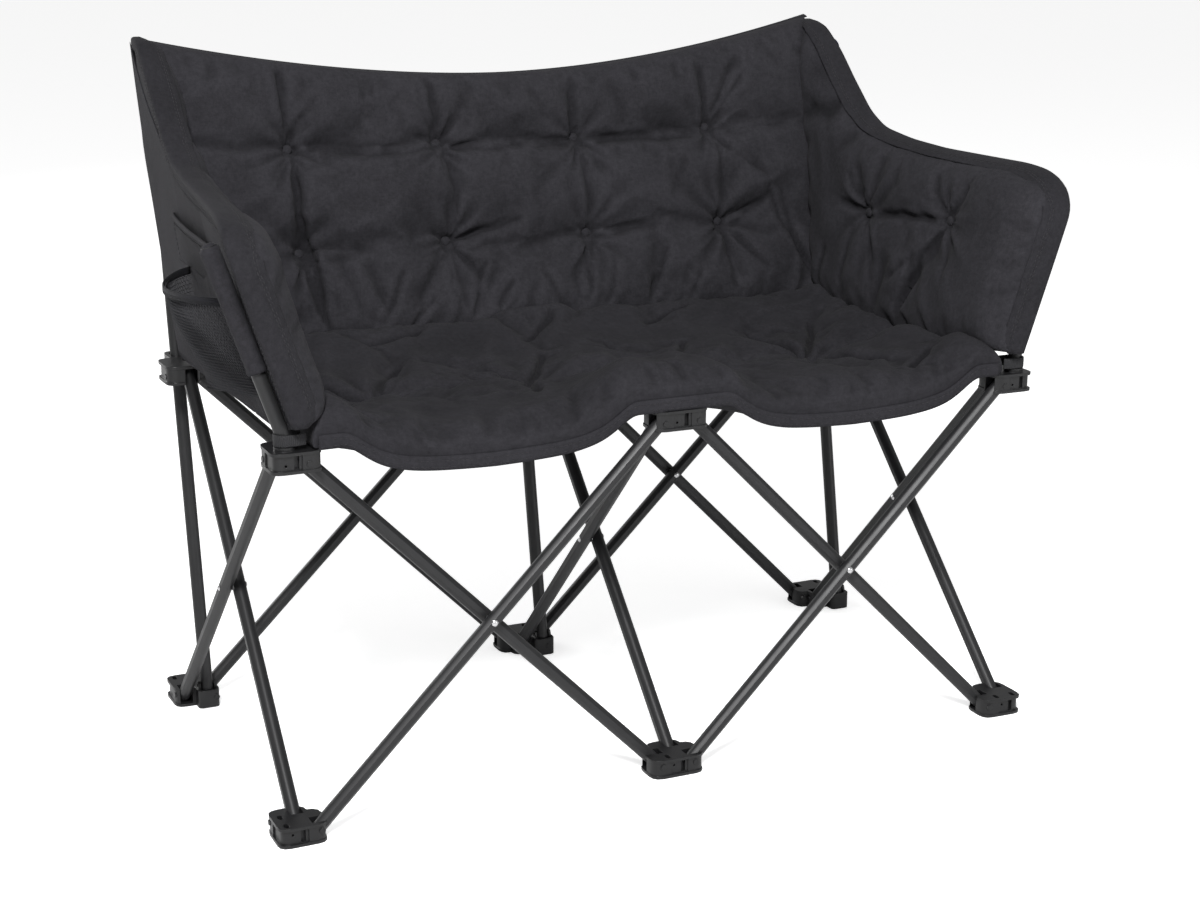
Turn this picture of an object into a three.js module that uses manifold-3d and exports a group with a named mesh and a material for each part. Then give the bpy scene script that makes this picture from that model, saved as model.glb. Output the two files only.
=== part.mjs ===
// Folding camping loveseat: six feet and six hubs joined by seven crossed pairs of tubes,
// three back posts, two arm tubes and padded fabric. Millimetres, +Z up, the front faces -Y.
import * as THREE from 'three';
import { mergeVertices } from 'three/addons/utils/BufferGeometryUtils.js';
import Module from 'manifold-3d';

const wasm = await Module();
wasm.setup();

// Tube
const TUBE_R = 9.5;
const TUBE_FLAT = 8.8; // centre to the flat side that faces the next tube
const TUBE_WALL = 1.3;
const TUBE_END = 10.5; // past the end pins
const END_CUT = 5;
const TUBE_SWING = Math.hypot(TUBE_END, TUBE_R - END_CUT); // its end sweeps this radius
const LAYER = 9.4; // each tube of a crossed pair stands this far from their common plane
const RUN_CLEAR = 0.3;

// Pins and rivets
const PIN_R = 3;
const PIN_HEAD_R = 4.2;
const PIN_PROUD = 1.2;
const PIN_SINK = 1.5;
const RIVET_HEAD_R = 4.6;
const RIVET_HEAD_RISE = 2.2;
const COLLAR_R = 6.5;
const COLLAR_HALF = 0.35;
const PIN_ROOM = 0.8; // between a corner hub's pin and the side of the tube that passes it
const CORNER_PIN = LAYER + TUBE_FLAT + PIN_R + PIN_ROOM;

// Frame grid
const PIN_SPAN = 487.5; // level distance from a tube's foot pin to its hub pin
const RISE = 485; // height of the hub pin above the foot pin
// From the centre of a foot or hub to its pins: across the chair at its sides, across it in the
// middle, and front to rear. The hubs' ones are shorter, so that the frame narrows upwards.
const FOOT_PINS = { outer: 31, middle: 25, depth: 28 };
const HUB_PINS = { outer: CORNER_PIN, middle: 25, depth: CORNER_PIN };
const FOOT_PITCH = PIN_SPAN + FOOT_PINS.middle + FOOT_PINS.outer;
const HUB_PITCH = PIN_SPAN + HUB_PINS.middle + HUB_PINS.outer;
const FOOT_DEPTH = PIN_SPAN + 2 * FOOT_PINS.depth;
const HUB_DEPTH = PIN_SPAN + 2 * HUB_PINS.depth;
const SIDES = [-1, 0, 1];

// Foot and hub moulding
const MOULD_H = 27;
const PLATE = 4;
const CHEEK_WALL = 6.8;
const HALF_W = LAYER + TUBE_FLAT + CHEEK_WALL; // half width of its arms
const HEEL_STEP = 1;
const HEEL = HALF_W + HEEL_STEP; // past the centre on a side with no tube
const REACH = 40; // past the centre on a side with a tube
const WAIST_IN = 3.5; // the waist stands in from the plates' lips
const CHEEK_IN = 1; // so do the cheeks that carry the pins
const CHEEK_FROM = 13;
const BURIED = 1; // how far one solid runs into the next where they are joined
const PIN_Z = 16.5; // above the underside of a foot
const CORNER_R = REACH - HALF_W;
const SLOT_CLEAR = 0.4;
const POCKET_AT = 14;
const POCKET_LONG = 7;
const POCKET_WIDE = 3.4;
const POCKET_FLOOR = 8;
const SLIT_FROM = 3;
const SLIT_WIDE = 6;
const SLIT_DEEP = 9;
const DOT_AT = -8;
const DOT_R = 1.8;
const DOT_DEEP = 5;

// Back post, pinned above each rear foot and sliding through the hub over it
const LEAN = THREE.MathUtils.degToRad(10.55);
const POST_X = 20; // from the foot centre
const POST_Y = -43;
const POST_PIN_Z = 32;
const POST_BELOW = 7; // below its pin
const POST_UP = 432; // above the hubs' tops
const POST_UP_CENTRE = 366;
const BLOCK_HALF = 16;
const BLOCK_OUT = 60;
const BLOCK_R = 8;
const EAR_T = 3.6;
const EAR_R = 6;
const POST_PIN_R = 2.5;
const SOCKET_ROOM = 2;
const SOCKET_Z = 21;
const NOSE_HALF = 16;
const NOSE_EDGE = 1; // half of what stays straight at its end
const NOSE_WALL = 6;
const POST_SLIP = 9.5; // how far the post's place in the hub's eye shifts as the chair folds

// Arm tube
const ARM_SEAT_X = 4;
const ARM_SEAT_Y = -5;
const ARM_SINK = 12;
const ARM_BEND = 26; // socket floor to the knee of the bend
const BEND_ARM = 11; // straight lines end this far from the knee
const ARM_TIP = { side: 80.5, back: 25.75, up: 252 }; // outward, rearward and above the hub
const COLLAR_RISE = 5;
const COLLAR_WALL = 4;

// Fabric. Heights are taken from the hubs' tops, and places from the middles of the hubs.
const TOUCH = 0.3;
const SEAT = {
  front: 22.25, rear: 20.35, gap: 3.5, splitShare: 0.492, swell: 4, drop: 47, rest: 1.3,
  crown: 46, edge: 17, seam: 24, lift: 42, sideRise: 38, sideFromShare: 0.68, rearRise: 46,
  rearFromShare: 0.64, tuft: 13, tuftR: 55, channelShare: 0.32, liftShare: 0.5,
};
const SEAT_TUFT_SHARES = [-0.67, -0.23, 0.23, 0.67]; // of its half width
const BACK = {
  low: 3, before: 10.8, lean: THREE.MathUtils.degToRad(18.5), sagTop: 382, rise: 70,
  bowShare: 1.85, shift: 4, crown: 42, edge: 12, tuft: 24, tuftR: 62, seam: 9, seamR: 26,
  lowRow: 139, highRow: 282,
};
const BACK_TUFT_SHARES = [-0.608, -0.203, 0.203, 0.608]; // of its half width
const BACK_ROWS = [BACK.lowRow, BACK.highRow];
const ARM = {
  rear: 8.35, front: 34.25, rearLow: -4.5, rearTop: 27.5, lowOut: 0.05, topOut: 2.95,
  flare: 2, low: 17, lowRise: 32, peak: 452, crown: 52, edge: 11, tuft: 11, tuftR: 60, wrap: 38,
  seam: 14,
};
// Edges of an arm from rear to front, as shares of its length and of its peak or lower rise
const ARM_TOP_SHARES = [
  [0, 1], [0.056, 0.991], [0.116, 0.916], [0.177, 0.81], [0.237, 0.717], [0.305, 0.664],
  [0.417, 0.642], [0.547, 0.631], [0.698, 0.628], [0.849, 0.626], [0.925, 0.611],
  [0.97, 0.575], [1, 0.509],
];
const ARM_LOW_SHARES = [[0, 0.19], [0.664, 0.25], [0.907, 0.81], [1, 1]];
const ARM_TUFT_SHARES = [[0.293, 0.71], [0.657, 0.766]]; // of its length and of its tip's height
// Part of each side along which the padding is drawn in
const DRAWN = {
  seatDepthShare: 0.14, seatWidthShare: 0.05, backWidthShare: 0.06, backHeightShare: 0.16,
  armLengthShare: 0.09, armHeightShare: 0.3,
};

// Fabric fittings; the pockets' ends are shares of the arm's length
const SLEEVE = { wall: 2.6, fromShare: 0.3, toShare: 1.015, clear: 0.35 };
const POCKET = {
  rearShare: 0.235, frontShare: 0.823, lowRear: -6, lowFront: 48, bulge: 66, sheet: 1.8,
};
const RIM = { r: 3.2, lift: 3.6, drop: 12.8 };
const PATCH = { rearShare: 0.123, frontShare: 0.72, top: 227, low: 172, gap: 10, sheet: 1.8 };
const WEB = { longer: 6, room: 3.1, blunt: 2, wall: 2.4, high: 15, shift: 6 };
const CAP = { r: 12.4, high: 96, web: 7, reach: 90, clear: 0.35, top: 2.4 };

// Facets
const ARC = 3; // along a rounded corner
const ROUND = 14; // round a tube
const FINE = 8; // round a pin
const ARM_STEPS = 5; // along an arm tube, all but two of them in its bend
const FLAT_ARC = 2; // half of those along one round side of a leg tube
const HIDDEN = 6; // round a hole that a head covers
const GRID = {
  seat: [24, 8], back: [25, 12], arm: [15, 7], net: [12, 6], patch: [10, 4],
}; // across and up each piece of fabric

const COLOURS = {
  steel: ['#3a3a3c', 0.42, 0.55],
  plastic: ['#2b2b2d', 0.5, 0],
  rivet: ['#b9babd', 0.3, 1],
  fabric: ['#3c3c3e', 0.92, 0],
  mesh: ['#2c2c30', 0.9, 0],
};

const X = new THREE.Vector3(1, 0, 0);
const Y = new THREE.Vector3(0, 1, 0);
const Z = new THREE.Vector3(0, 0, 1);
const QUARTER = Math.PI / 2;

const lerp = THREE.MathUtils.lerp;
const clamp = THREE.MathUtils.clamp;
const smooth = (t) => THREE.MathUtils.smoothstep(t, 0, 1);
const bell = (t) => Math.exp(-t * t);

// Value read from a table of shares
function along(table, at) {
  let i = 1;
  while (i < table.length - 1 && at > table[i][0]) i += 1;
  const [a, va] = table[i - 1];
  const [b, vb] = table[i];
  return lerp(va, vb, clamp((at - a) / (b - a), 0, 1));
}

// Solids, joined and cut
function solid(geometry, matrix) {
  const g = geometry.clone();
  if (matrix) g.applyMatrix4(matrix);
  for (const name of Object.keys(g.attributes)) if (name !== 'position') g.deleteAttribute(name);
  const m = mergeVertices(g, 1e-4);
  return new wasm.Manifold(new wasm.Mesh({
    numProp: 3,
    vertProperties: Float32Array.from(m.attributes.position.array),
    triVerts: Uint32Array.from(m.index.array),
  }));
}

function surface(manifold) {
  const m = manifold.getMesh();
  const g = new THREE.BufferGeometry();
  g.setAttribute('position', new THREE.BufferAttribute(Float32Array.from(m.vertProperties), 3));
  g.setIndex(Array.from(m.triVerts));
  g.computeVertexNormals();
  return g;
}

// Outline pulled up between two heights; an arc in it gets twice the facets given
function extruded(shape, from, to, facets = ARC) {
  const g = new THREE.ExtrudeGeometry(shape, {
    depth: to - from, bevelEnabled: false, curveSegments: facets,
  });
  return solid(g, new THREE.Matrix4().makeTranslation(0, 0, from));
}

function box(x0, x1, y0, y1, z0, z1) {
  const g = new THREE.BoxGeometry(x1 - x0, y1 - y0, z1 - z0);
  return solid(g, new THREE.Matrix4().makeTranslation((x0 + x1) / 2, (y0 + y1) / 2, (z0 + z1) / 2));
}

// Round bar from point a along a direction
function bar(a, direction, length, radius, segments = FINE) {
  const g = new THREE.CylinderGeometry(radius, radius, length, segments);
  const turn = new THREE.Quaternion().setFromUnitVectors(Y, direction);
  const middle = a.clone().addScaledVector(direction, length / 2);
  return solid(g, new THREE.Matrix4().compose(middle, turn, new THREE.Vector3(1, 1, 1)));
}

// Closed outline through corners, each given as x, y and the radius it is rounded by
function rounded(corners) {
  const s = new THREE.Shape();
  corners.forEach(([x, y, r], i) => {
    const here = new THREE.Vector2(x, y);
    const [before, after] = [corners.at(i - 1), corners[(i + 1) % corners.length]]
      .map(([ox, oy]) => new THREE.Vector2(ox, oy).sub(here).setLength(r).add(here));
    if (i) s.lineTo(before.x, before.y);
    else s.moveTo(before.x, before.y);
    if (r) s.quadraticCurveTo(x, y, after.x, after.y);
  });
  s.closePath();
  return s;
}

const roundedRect = (x0, x1, y0, y1, r) => rounded(
  [[x1, y0, r], [x1, y1, r], [x0, y1, r], [x0, y0, r]]);

function circle(r) {
  return new THREE.Shape().absarc(0, 0, r, 0, 4 * QUARTER);
}

// Section of a leg tube: round, with two flat sides
function tubeSection(r, flat) {
  const s = new THREE.Shape();
  const a = Math.asin(flat / r);
  s.absarc(0, 0, r, -a, a);
  s.absarc(0, 0, r, 2 * QUARTER - a, 2 * QUARTER + a);
  s.closePath();
  return s;
}

// Levels and lines that the fabric keeps to
const HUB_TOP = PIN_Z + RISE + PIN_Z;
const POST_TOP = HUB_TOP + POST_UP;
const POST_TOP_CENTRE = HUB_TOP + POST_UP_CENTRE;
const postYat = (z) => FOOT_DEPTH / 2 + POST_Y + Math.tan(LEAN) * (z - POST_PIN_Z);
const backY = (z) => postYat(POST_TOP) - BACK.before - (POST_TOP - z) * Math.tan(BACK.lean);
const WEB_ROUND = TUBE_R + WEB.wall + WEB.room;
const WEB_HALF = WEB_ROUND + WEB.longer;
const SLEEVE_R = TUBE_R + SLEEVE.clear + SLEEVE.wall;
const SEAT_FRONT = -HUB_DEPTH / 2 - SEAT.front;
const SEAT_REAR = backY(HUB_TOP) - SEAT.rear;
const SEAT_SPLIT = lerp(SEAT_FRONT, SEAT_REAR, SEAT.splitShare);
const SEAT_HALF = HUB_PITCH + ARM_SEAT_X - WEB.shift - WEB_HALF - SEAT.gap;
const ARM_FRONT = -HUB_DEPTH / 2 - ARM.front;
const ARM_REAR = backY(HUB_TOP) - ARM.rear;
// The seat lies on its hubs within this distance of them
const HUB_LIFT = Math.hypot(REACH, HALF_W) + SEAT.liftShare * 2 * SEAT_HALF / GRID.seat[0];

// Middle of the chair from its arms to the rear of its post caps, brought over the origin
const CAP_END = (POST_TOP - POST_PIN_Z) / Math.cos(LEAN) + CAP.clear + CAP.top;
const CAP_REAR = (FOOT_DEPTH / 2 + POST_Y + CAP_END * Math.sin(LEAN)
  + CAP.r * Math.cos(Math.PI / ROUND) * Math.cos(LEAN));
const MIDDLE_Y = (ARM_FRONT + CAP_REAR) / 2;

const group = new THREE.Group();

function add(name, geometry, look) {
  const [colour, roughness, metalness] = COLOURS[look];
  const material = new THREE.MeshStandardMaterial({ color: colour, roughness, metalness });
  const g = geometry.isBufferGeometry ? geometry : surface(geometry);
  const mesh = new THREE.Mesh(g, material);
  mesh.name = name;
  mesh.position.set(0, -MIDDLE_Y, 0);
  group.add(mesh);
}

// Places of feet and hubs: side is -1, 0 or 1 from left to right, row is -1 in front, 1 at the rear
const SIDE_NAMES = { '-1': 'left', 0: 'centre', 1: 'right' };
const ROW_NAMES = { '-1': 'front', 1: 'rear' };
const HUB_Z = HUB_TOP - MOULD_H; // underside of a hub
const footAt = (side, row) => new THREE.Vector3(side * FOOT_PITCH, row * FOOT_DEPTH / 2, 0);
const hubAt = (side, row) => new THREE.Vector3(side * HUB_PITCH, row * HUB_DEPTH / 2, HUB_Z);
const placeName = (side, row) => `${ROW_NAMES[row]}_${SIDE_NAMES[side]}`;
const postFoot = (side) => footAt(side, 1).add(new THREE.Vector3(POST_X, POST_Y, POST_PIN_Z));
const postDir = new THREE.Vector3(0, Math.sin(LEAN), Math.cos(LEAN));

// Directions in which tubes leave a foot or reach a hub. The tube of each pair that rises to the
// right, or from the rear to the front, lies on the outer layer.
function slotsOf(side, row, isHub) {
  const slots = [];
  const pins = isHub ? HUB_PINS : FOOT_PINS;
  for (const dx of [-1, 1]) {
    if (Math.abs(side + dx) > 1) continue;
    const risesRight = isHub ? dx < 0 : dx > 0;
    const pinOut = side ? pins.outer : pins.middle;
    slots.push({ dir: [dx, 0], off: risesRight ? -LAYER : LAYER, pinOut });
  }
  const risesFront = isHub ? row < 0 : row > 0;
  slots.push({ dir: [0, -row], off: risesFront ? -LAYER : LAYER, pinOut: pins.depth });
  return slots;
}

// Box given along a slot's own direction and across it
function slotBox(dir, a0, a1, c0, c1, z0, z1) {
  const [dx, dy] = dir;
  if (dx) return box(Math.min(dx * a0, dx * a1), Math.max(dx * a0, dx * a1), c0, c1, z0, z1);
  return box(c0, c1, Math.min(dy * a0, dy * a1), Math.max(dy * a0, dy * a1), z0, z1);
}

// Outline of a moulding: arms towards its tubes, heels on the other sides
function footprint(slots, inset) {
  const has = (dx, dy) => slots.some(({ dir }) => dir[0] === dx && dir[1] === dy);
  const [h, heel, reach] = [HALF_W - inset, HEEL - inset, REACH - inset];
  const r = CORNER_R - inset;
  const turns = [[1, 1], [-1, 1], [-1, -1], [1, -1]];
  return rounded(turns.flatMap(([sx, sy]) => {
    const armX = has(sx, 0);
    const armY = has(0, sy);
    const wide = !armY && has(-sx, 0); // a heel between two arms
    const points = [];
    if (armX) points.push([sx * reach, sy * h, r]);
    if (armX && armY) points.push([sx * h, sy * h, 0]);
    if (armX && wide) points.push([sx * h, sy * heel, 0]);
    if (armY) points.push([sx * h, sy * reach, r]);
    if (!armX && !armY) points.push([sx * heel, sy * heel, r]);
    return sx * sy > 0 ? points : points.reverse();
  }));
}

// Cheek that carries a pin: rounded at the end of its arm
function cheek(dir) {
  const [half, end, r] = [HALF_W - CHEEK_IN, REACH - CHEEK_IN, CORNER_R - CHEEK_IN];
  const corners = [[CHEEK_FROM, -half, 0], [end, -half, r], [end, half, r], [CHEEK_FROM, half, 0]];
  return rounded(corners.map(([a, c, round]) => [
    dir[0] * a - dir[1] * c, dir[1] * a + dir[0] * c, round,
  ]));
}

// One moulding for a foot, or turned over for a hub. Heights are given as for a foot.
function moulding(side, row, isHub) {
  const slots = slotsOf(side, row, isHub);
  const holdsPost = row > 0;
  const level = (z0, z1) => (isHub ? [MOULD_H - z1, MOULD_H - z0] : [z0, z1]);
  const pinZ = isHub ? MOULD_H - PIN_Z : PIN_Z;
  const origin = isHub ? hubAt(side, row) : footAt(side, row);
  const eyeX = postFoot(side).x - origin.x;
  const eyeY = postYat(HUB_Z + MOULD_H / 2) - origin.y;
  const inner = MOULD_H - PLATE;

  let body = extruded(footprint(slots, WAIST_IN), PLATE - BURIED, inner + BURIED)
    .add(extruded(footprint(slots, 0), 0, PLATE))
    .add(extruded(footprint(slots, 0), inner, MOULD_H));
  for (const { dir } of slots) {
    body = body.add(extruded(cheek(dir), PLATE - BURIED, inner + BURIED));
  }
  if (holdsPost && !isHub) {
    const block = roundedRect(eyeX - BLOCK_HALF, eyeX + BLOCK_HALF, -BLOCK_OUT, 0, BLOCK_R);
    body = body.add(extruded(block, BURIED, MOULD_H + BURIED));
  }
  if (holdsPost && isHub) {
    const end = eyeY + POST_SLIP + TUBE_R + NOSE_WALL;
    const nose = roundedRect(eyeX - NOSE_HALF, eyeX + NOSE_HALF, 0, end,
      NOSE_HALF - NOSE_EDGE);
    body = body.add(extruded(nose, BURIED, MOULD_H - BURIED));
  }

  // Slots for the tube ends
  const slotHalf = TUBE_FLAT + SLOT_CLEAR;
  for (const { dir, off, pinOut } of slots) {
    const slotFrom = pinOut - TUBE_SWING - RUN_CLEAR;
    body = body.subtract(slotBox(dir, slotFrom, 2 * REACH, off - slotHalf, off + slotHalf,
      ...level(PLATE, 2 * MOULD_H)));
  }

  // Openings in the upper face of a foot, where no tube or post stands
  const quarters = [[-1, -1], [-1, 1], [1, -1], [1, 1]];
  for (const [px, py] of isHub ? [] : quarters) {
    const taken = slots.some(({ dir, off }) => (dir[0]
      ? dir[0] === px && off * py > 0
      : dir[1] === py && off * px > 0));
    if (taken || (holdsPost && px > 0 && py < 0)) continue;
    const s = new THREE.Shape();
    s.absarc(px * POCKET_AT, py * POCKET_AT - POCKET_LONG / 2, POCKET_WIDE, -2 * QUARTER, 0);
    s.absarc(px * POCKET_AT, py * POCKET_AT + POCKET_LONG / 2, POCKET_WIDE, 0, 2 * QUARTER);
    s.closePath();
    body = body.subtract(extruded(s, POCKET_FLOOR, 2 * MOULD_H, ARC / 2));
  }

  // Slit and small hole in the front face
  if (!holdsPost) {
    body = body.subtract(box(SLIT_FROM, SLIT_FROM + SLIT_WIDE, -HEEL - BURIED, -HEEL + SLIT_DEEP,
      PLATE + BURIED, inner - BURIED));
    const at = new THREE.Vector3(DOT_AT, -HEEL, pinZ);
    body = body.subtract(bar(at, Y, DOT_DEEP + WAIST_IN, DOT_R, HIDDEN));
  }

  // Pins across the slots, from face to face of the cheeks or of the post block
  for (const { dir, pinOut } of slots) {
    const across = dir[0] ? Y : X;
    const at = new THREE.Vector3(dir[0] * pinOut, dir[1] * pinOut, pinZ);
    const blocked = holdsPost && !isHub && (dir[1] || dir[0] > 0);
    const low = dir[0] && blocked ? -BLOCK_OUT : -HALF_W + CHEEK_IN;
    const high = dir[1] && blocked ? eyeX + BLOCK_HALF : HALF_W - CHEEK_IN;
    const from = at.clone().addScaledVector(across, low);
    body = body.add(bar(from, across, high - low, PIN_R, HIDDEN));
    // A round head on one face, the hammered end on the other
    for (const [face, facets] of [[low - PIN_PROUD, FINE], [high - PIN_SINK, HIDDEN]]) {
      const head = at.clone().addScaledVector(across, face);
      body = body.add(bar(head, across, PIN_PROUD + PIN_SINK, PIN_HEAD_R, facets));
    }
  }

  // Ears and socket that hold the pin of a back post
  if (holdsPost && !isHub) {
    const room = TUBE_R + SLOT_CLEAR;
    const wide = room + EAR_T;
    const pin = new THREE.Vector3(eyeX, POST_Y, POST_PIN_Z);
    const from = (half) => pin.clone().addScaledVector(X, -half);
    const socket = box(eyeX - room, eyeX + room, POST_Y - room - SOCKET_ROOM,
      POST_Y + room + SOCKET_ROOM, SOCKET_Z, 2 * MOULD_H);
    body = body
      .add(box(eyeX - wide, eyeX + wide, POST_Y - EAR_R, POST_Y + EAR_R, inner, POST_PIN_Z))
      .add(bar(from(wide), X, 2 * wide, EAR_R))
      .subtract(socket)
      .add(bar(from(wide + PIN_PROUD), X, 2 * (wide + PIN_PROUD), POST_PIN_R, HIDDEN));
  }

  // Eye in which a back post slides
  if (holdsPost && isHub) {
    const r = TUBE_R + SLOT_CLEAR;
    const s = new THREE.Shape();
    s.absarc(eyeX, eyeY - POST_SLIP, r, 2 * QUARTER, 4 * QUARTER);
    s.absarc(eyeX, eyeY + POST_SLIP, r, 0, 2 * QUARTER);
    s.closePath();
    body = body.subtract(extruded(s, -MOULD_H, 2 * MOULD_H, ARC));
  }

  // Raised collar and socket for an arm tube
  if (isHub && !holdsPost && side) {
    const at = new THREE.Vector3(side * ARM_SEAT_X, ARM_SEAT_Y, MOULD_H - ARM_SINK);
    const r = TUBE_R + RUN_CLEAR;
    body = body.add(bar(at, Z, ARM_SINK + COLLAR_RISE, r + COLLAR_WALL, ROUND))
      .subtract(bar(at, Z, 2 * ARM_SINK, r, ROUND));
  }
  return surface(body.translate(origin.toArray()));
}

// Bar that cuts a hole clear of a pin; its flat sides stand outside the pin
const hole = (from, direction, length, pinR) => bar(
  from, direction, length, (pinR + RUN_CLEAR) / Math.cos(Math.PI / HIDDEN), HIDDEN);

// Leg tube from pin to pin, with its flat sides across the pins and cut corners at its ends
function legTube(p, q, pinAxis) {
  const length = p.distanceTo(q);
  const end = TUBE_END;
  const shape = tubeSection(TUBE_R, TUBE_FLAT);
  const bore = tubeSection(TUBE_R - TUBE_WALL, TUBE_FLAT - TUBE_WALL);
  const wide = TUBE_R + BURIED;
  const side = rounded([
    [wide, -end + END_CUT, 0], [wide, length + end - END_CUT, 0],
    [TUBE_R - END_CUT, length + end, 0], [END_CUT - TUBE_R, length + end, 0],
    [-wide, length + end - END_CUT, 0], [-wide, -end + END_CUT, 0],
    [END_CUT - TUBE_R, -end, 0], [TUBE_R - END_CUT, -end, 0],
  ]);
  let body = extruded(shape, -2 * end, length + 2 * end, FLAT_ARC)
    .intersect(extruded(side, -end, end).rotate([90, 0, 0]))
    .subtract(extruded(bore, -3 * end, length + 3 * end, FLAT_ARC));
  for (const at of [0, length / 2, length]) {
    body = body.subtract(hole(new THREE.Vector3(0, -end, at), Y, 2 * end, PIN_R));
  }
  const up = q.clone().sub(p).normalize();
  const across = new THREE.Vector3().crossVectors(pinAxis, up);
  const m = new THREE.Matrix4().makeBasis(across, pinAxis, up).setPosition(p);
  return surface(body).applyMatrix4(m);
}

function rivet(at, axis) {
  const reach = LAYER + TUBE_FLAT + RUN_CLEAR;
  const profile = [
    [0, -reach - RIVET_HEAD_RISE], [RIVET_HEAD_R * 0.6, -reach - RIVET_HEAD_RISE * 0.75],
    [RIVET_HEAD_R, -reach], [PIN_R, -reach], [PIN_R, -COLLAR_HALF],
    [COLLAR_R, -COLLAR_HALF], [COLLAR_R, COLLAR_HALF], [PIN_R, COLLAR_HALF], [PIN_R, reach],
    [RIVET_HEAD_R, reach], [RIVET_HEAD_R * 0.6, reach + RIVET_HEAD_RISE * 0.75],
    [0, reach + RIVET_HEAD_RISE],
  ].map(([r, y]) => new THREE.Vector2(r, y));
  const g = new THREE.LatheGeometry(profile, FINE);
  const turn = new THREE.Quaternion().setFromUnitVectors(Y, axis);
  return surface(solid(g, new THREE.Matrix4().compose(at, turn, new THREE.Vector3(1, 1, 1))));
}

// Feet and hubs
for (const row of [-1, 1]) {
  for (const side of SIDES) {
    add(`foot_${placeName(side, row)}`, moulding(side, row, false), 'plastic');
    add(`hub_${placeName(side, row)}`, moulding(side, row, true), 'plastic');
  }
}

// Crossed pairs of tubes, each with its rivet
function crossedPair(names, rivetName, a, b, axis) {
  const run = footAt(...b).sub(footAt(...a)).normalize();
  const out = ([side], pins) => (axis === X ? pins.depth : side ? pins.outer : pins.middle);
  const pinFoot = (at, sign) => footAt(...at)
    .addScaledVector(run, sign * out(at, FOOT_PINS)).setZ(PIN_Z);
  const pinHub = (at, sign) => hubAt(...at)
    .addScaledVector(run, sign * out(at, HUB_PINS)).setZ(PIN_Z + RISE);
  const near = axis.clone().multiplyScalar(-LAYER);
  const far = axis.clone().multiplyScalar(LAYER);
  const rising = legTube(pinFoot(a, 1).add(near), pinHub(b, -1).add(near), axis);
  const falling = legTube(pinFoot(b, -1).add(far), pinHub(a, 1).add(far), axis);
  add(names[0], rising, 'steel');
  add(names[1], falling, 'steel');
  const middle = pinFoot(a, 1).add(pinHub(b, -1)).multiplyScalar(1 / 2);
  add(rivetName, rivet(middle, axis), 'rivet');
}

for (const row of [-1, 1]) {
  for (const [half, left] of [['left', -1], ['right', 0]]) {
    const name = `${ROW_NAMES[row]}_${half}`;
    crossedPair([`tube_${name}_rising`, `tube_${name}_falling`], `rivet_${name}`,
      [left, row], [left + 1, row], Y);
  }
}
for (const side of SIDES) {
  const name = `side_${SIDE_NAMES[side]}`;
  crossedPair([`tube_${name}_forward`, `tube_${name}_rearward`], `rivet_${name}`,
    [side, 1], [side, -1], X);
}

// Back posts
const postPlace = (side) => new THREE.Matrix4().compose(postFoot(side),
  new THREE.Quaternion().setFromUnitVectors(Z, postDir), new THREE.Vector3(1, 1, 1));
const postLength = (side) => ((side ? POST_TOP : POST_TOP_CENTRE) - POST_PIN_Z) / Math.cos(LEAN);

for (const side of SIDES) {
  const length = postLength(side);
  const body = extruded(circle(TUBE_R), -POST_BELOW, length, ROUND / 2)
    .subtract(extruded(circle(TUBE_R - TUBE_WALL), -length, 2 * length, ROUND / 2))
    .subtract(hole(new THREE.Vector3(-2 * TUBE_R, 0, 0), X, 4 * TUBE_R, POST_PIN_R));
  add(`post_${SIDE_NAMES[side]}`, surface(body).applyMatrix4(postPlace(side)), 'steel');
}

// Arm tube: up out of its hub, round a bend, then straight to the tip of the arm
const armBase = (side) => hubAt(side, -1)
  .add(new THREE.Vector3(side * ARM_SEAT_X, ARM_SEAT_Y, MOULD_H - ARM_SINK + TOUCH));
const armTip = (side) => hubAt(side, -1)
  .add(new THREE.Vector3(side * ARM_TIP.side, ARM_TIP.back, MOULD_H + ARM_TIP.up));
const armKnee = (side) => armBase(side).add(new THREE.Vector3(0, 0, ARM_BEND));
const armDir = (side) => armTip(side).sub(armKnee(side)).normalize();

class ArmLine extends THREE.Curve {
  constructor(side) {
    super();
    const from = armKnee(side).addScaledVector(Z, -BEND_ARM);
    const to = armKnee(side).addScaledVector(armDir(side), BEND_ARM);
    this.base = new THREE.LineCurve3(armBase(side), from);
    this.bend = new THREE.QuadraticBezierCurve3(from, armKnee(side), to);
    this.run = new THREE.LineCurve3(to, armTip(side));
  }

  getPoint(t) {
    const at = t * ARM_STEPS;
    if (at <= 1) return this.base.getPoint(at);
    if (at >= ARM_STEPS - 1) return this.run.getPoint(at - ARM_STEPS + 1);
    return this.bend.getPoint((at - 1) / (ARM_STEPS - 2));
  }

  // Steps follow t, so that most of them fall in the bend
  getUtoTmapping(u) {
    return u;
  }
}

for (const side of [-1, 1]) {
  const section = circle(TUBE_R);
  section.holes.push(new THREE.Path().absarc(0, 0, TUBE_R - TUBE_WALL, 0, 4 * QUARTER));
  const g = new THREE.ExtrudeGeometry(section, {
    extrudePath: new ArmLine(side), steps: ARM_STEPS, curveSegments: ROUND / 2, bevelEnabled: false,
  });
  add(`arm_tube_${SIDE_NAMES[side]}`, surface(solid(g)), 'steel');
}

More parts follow.
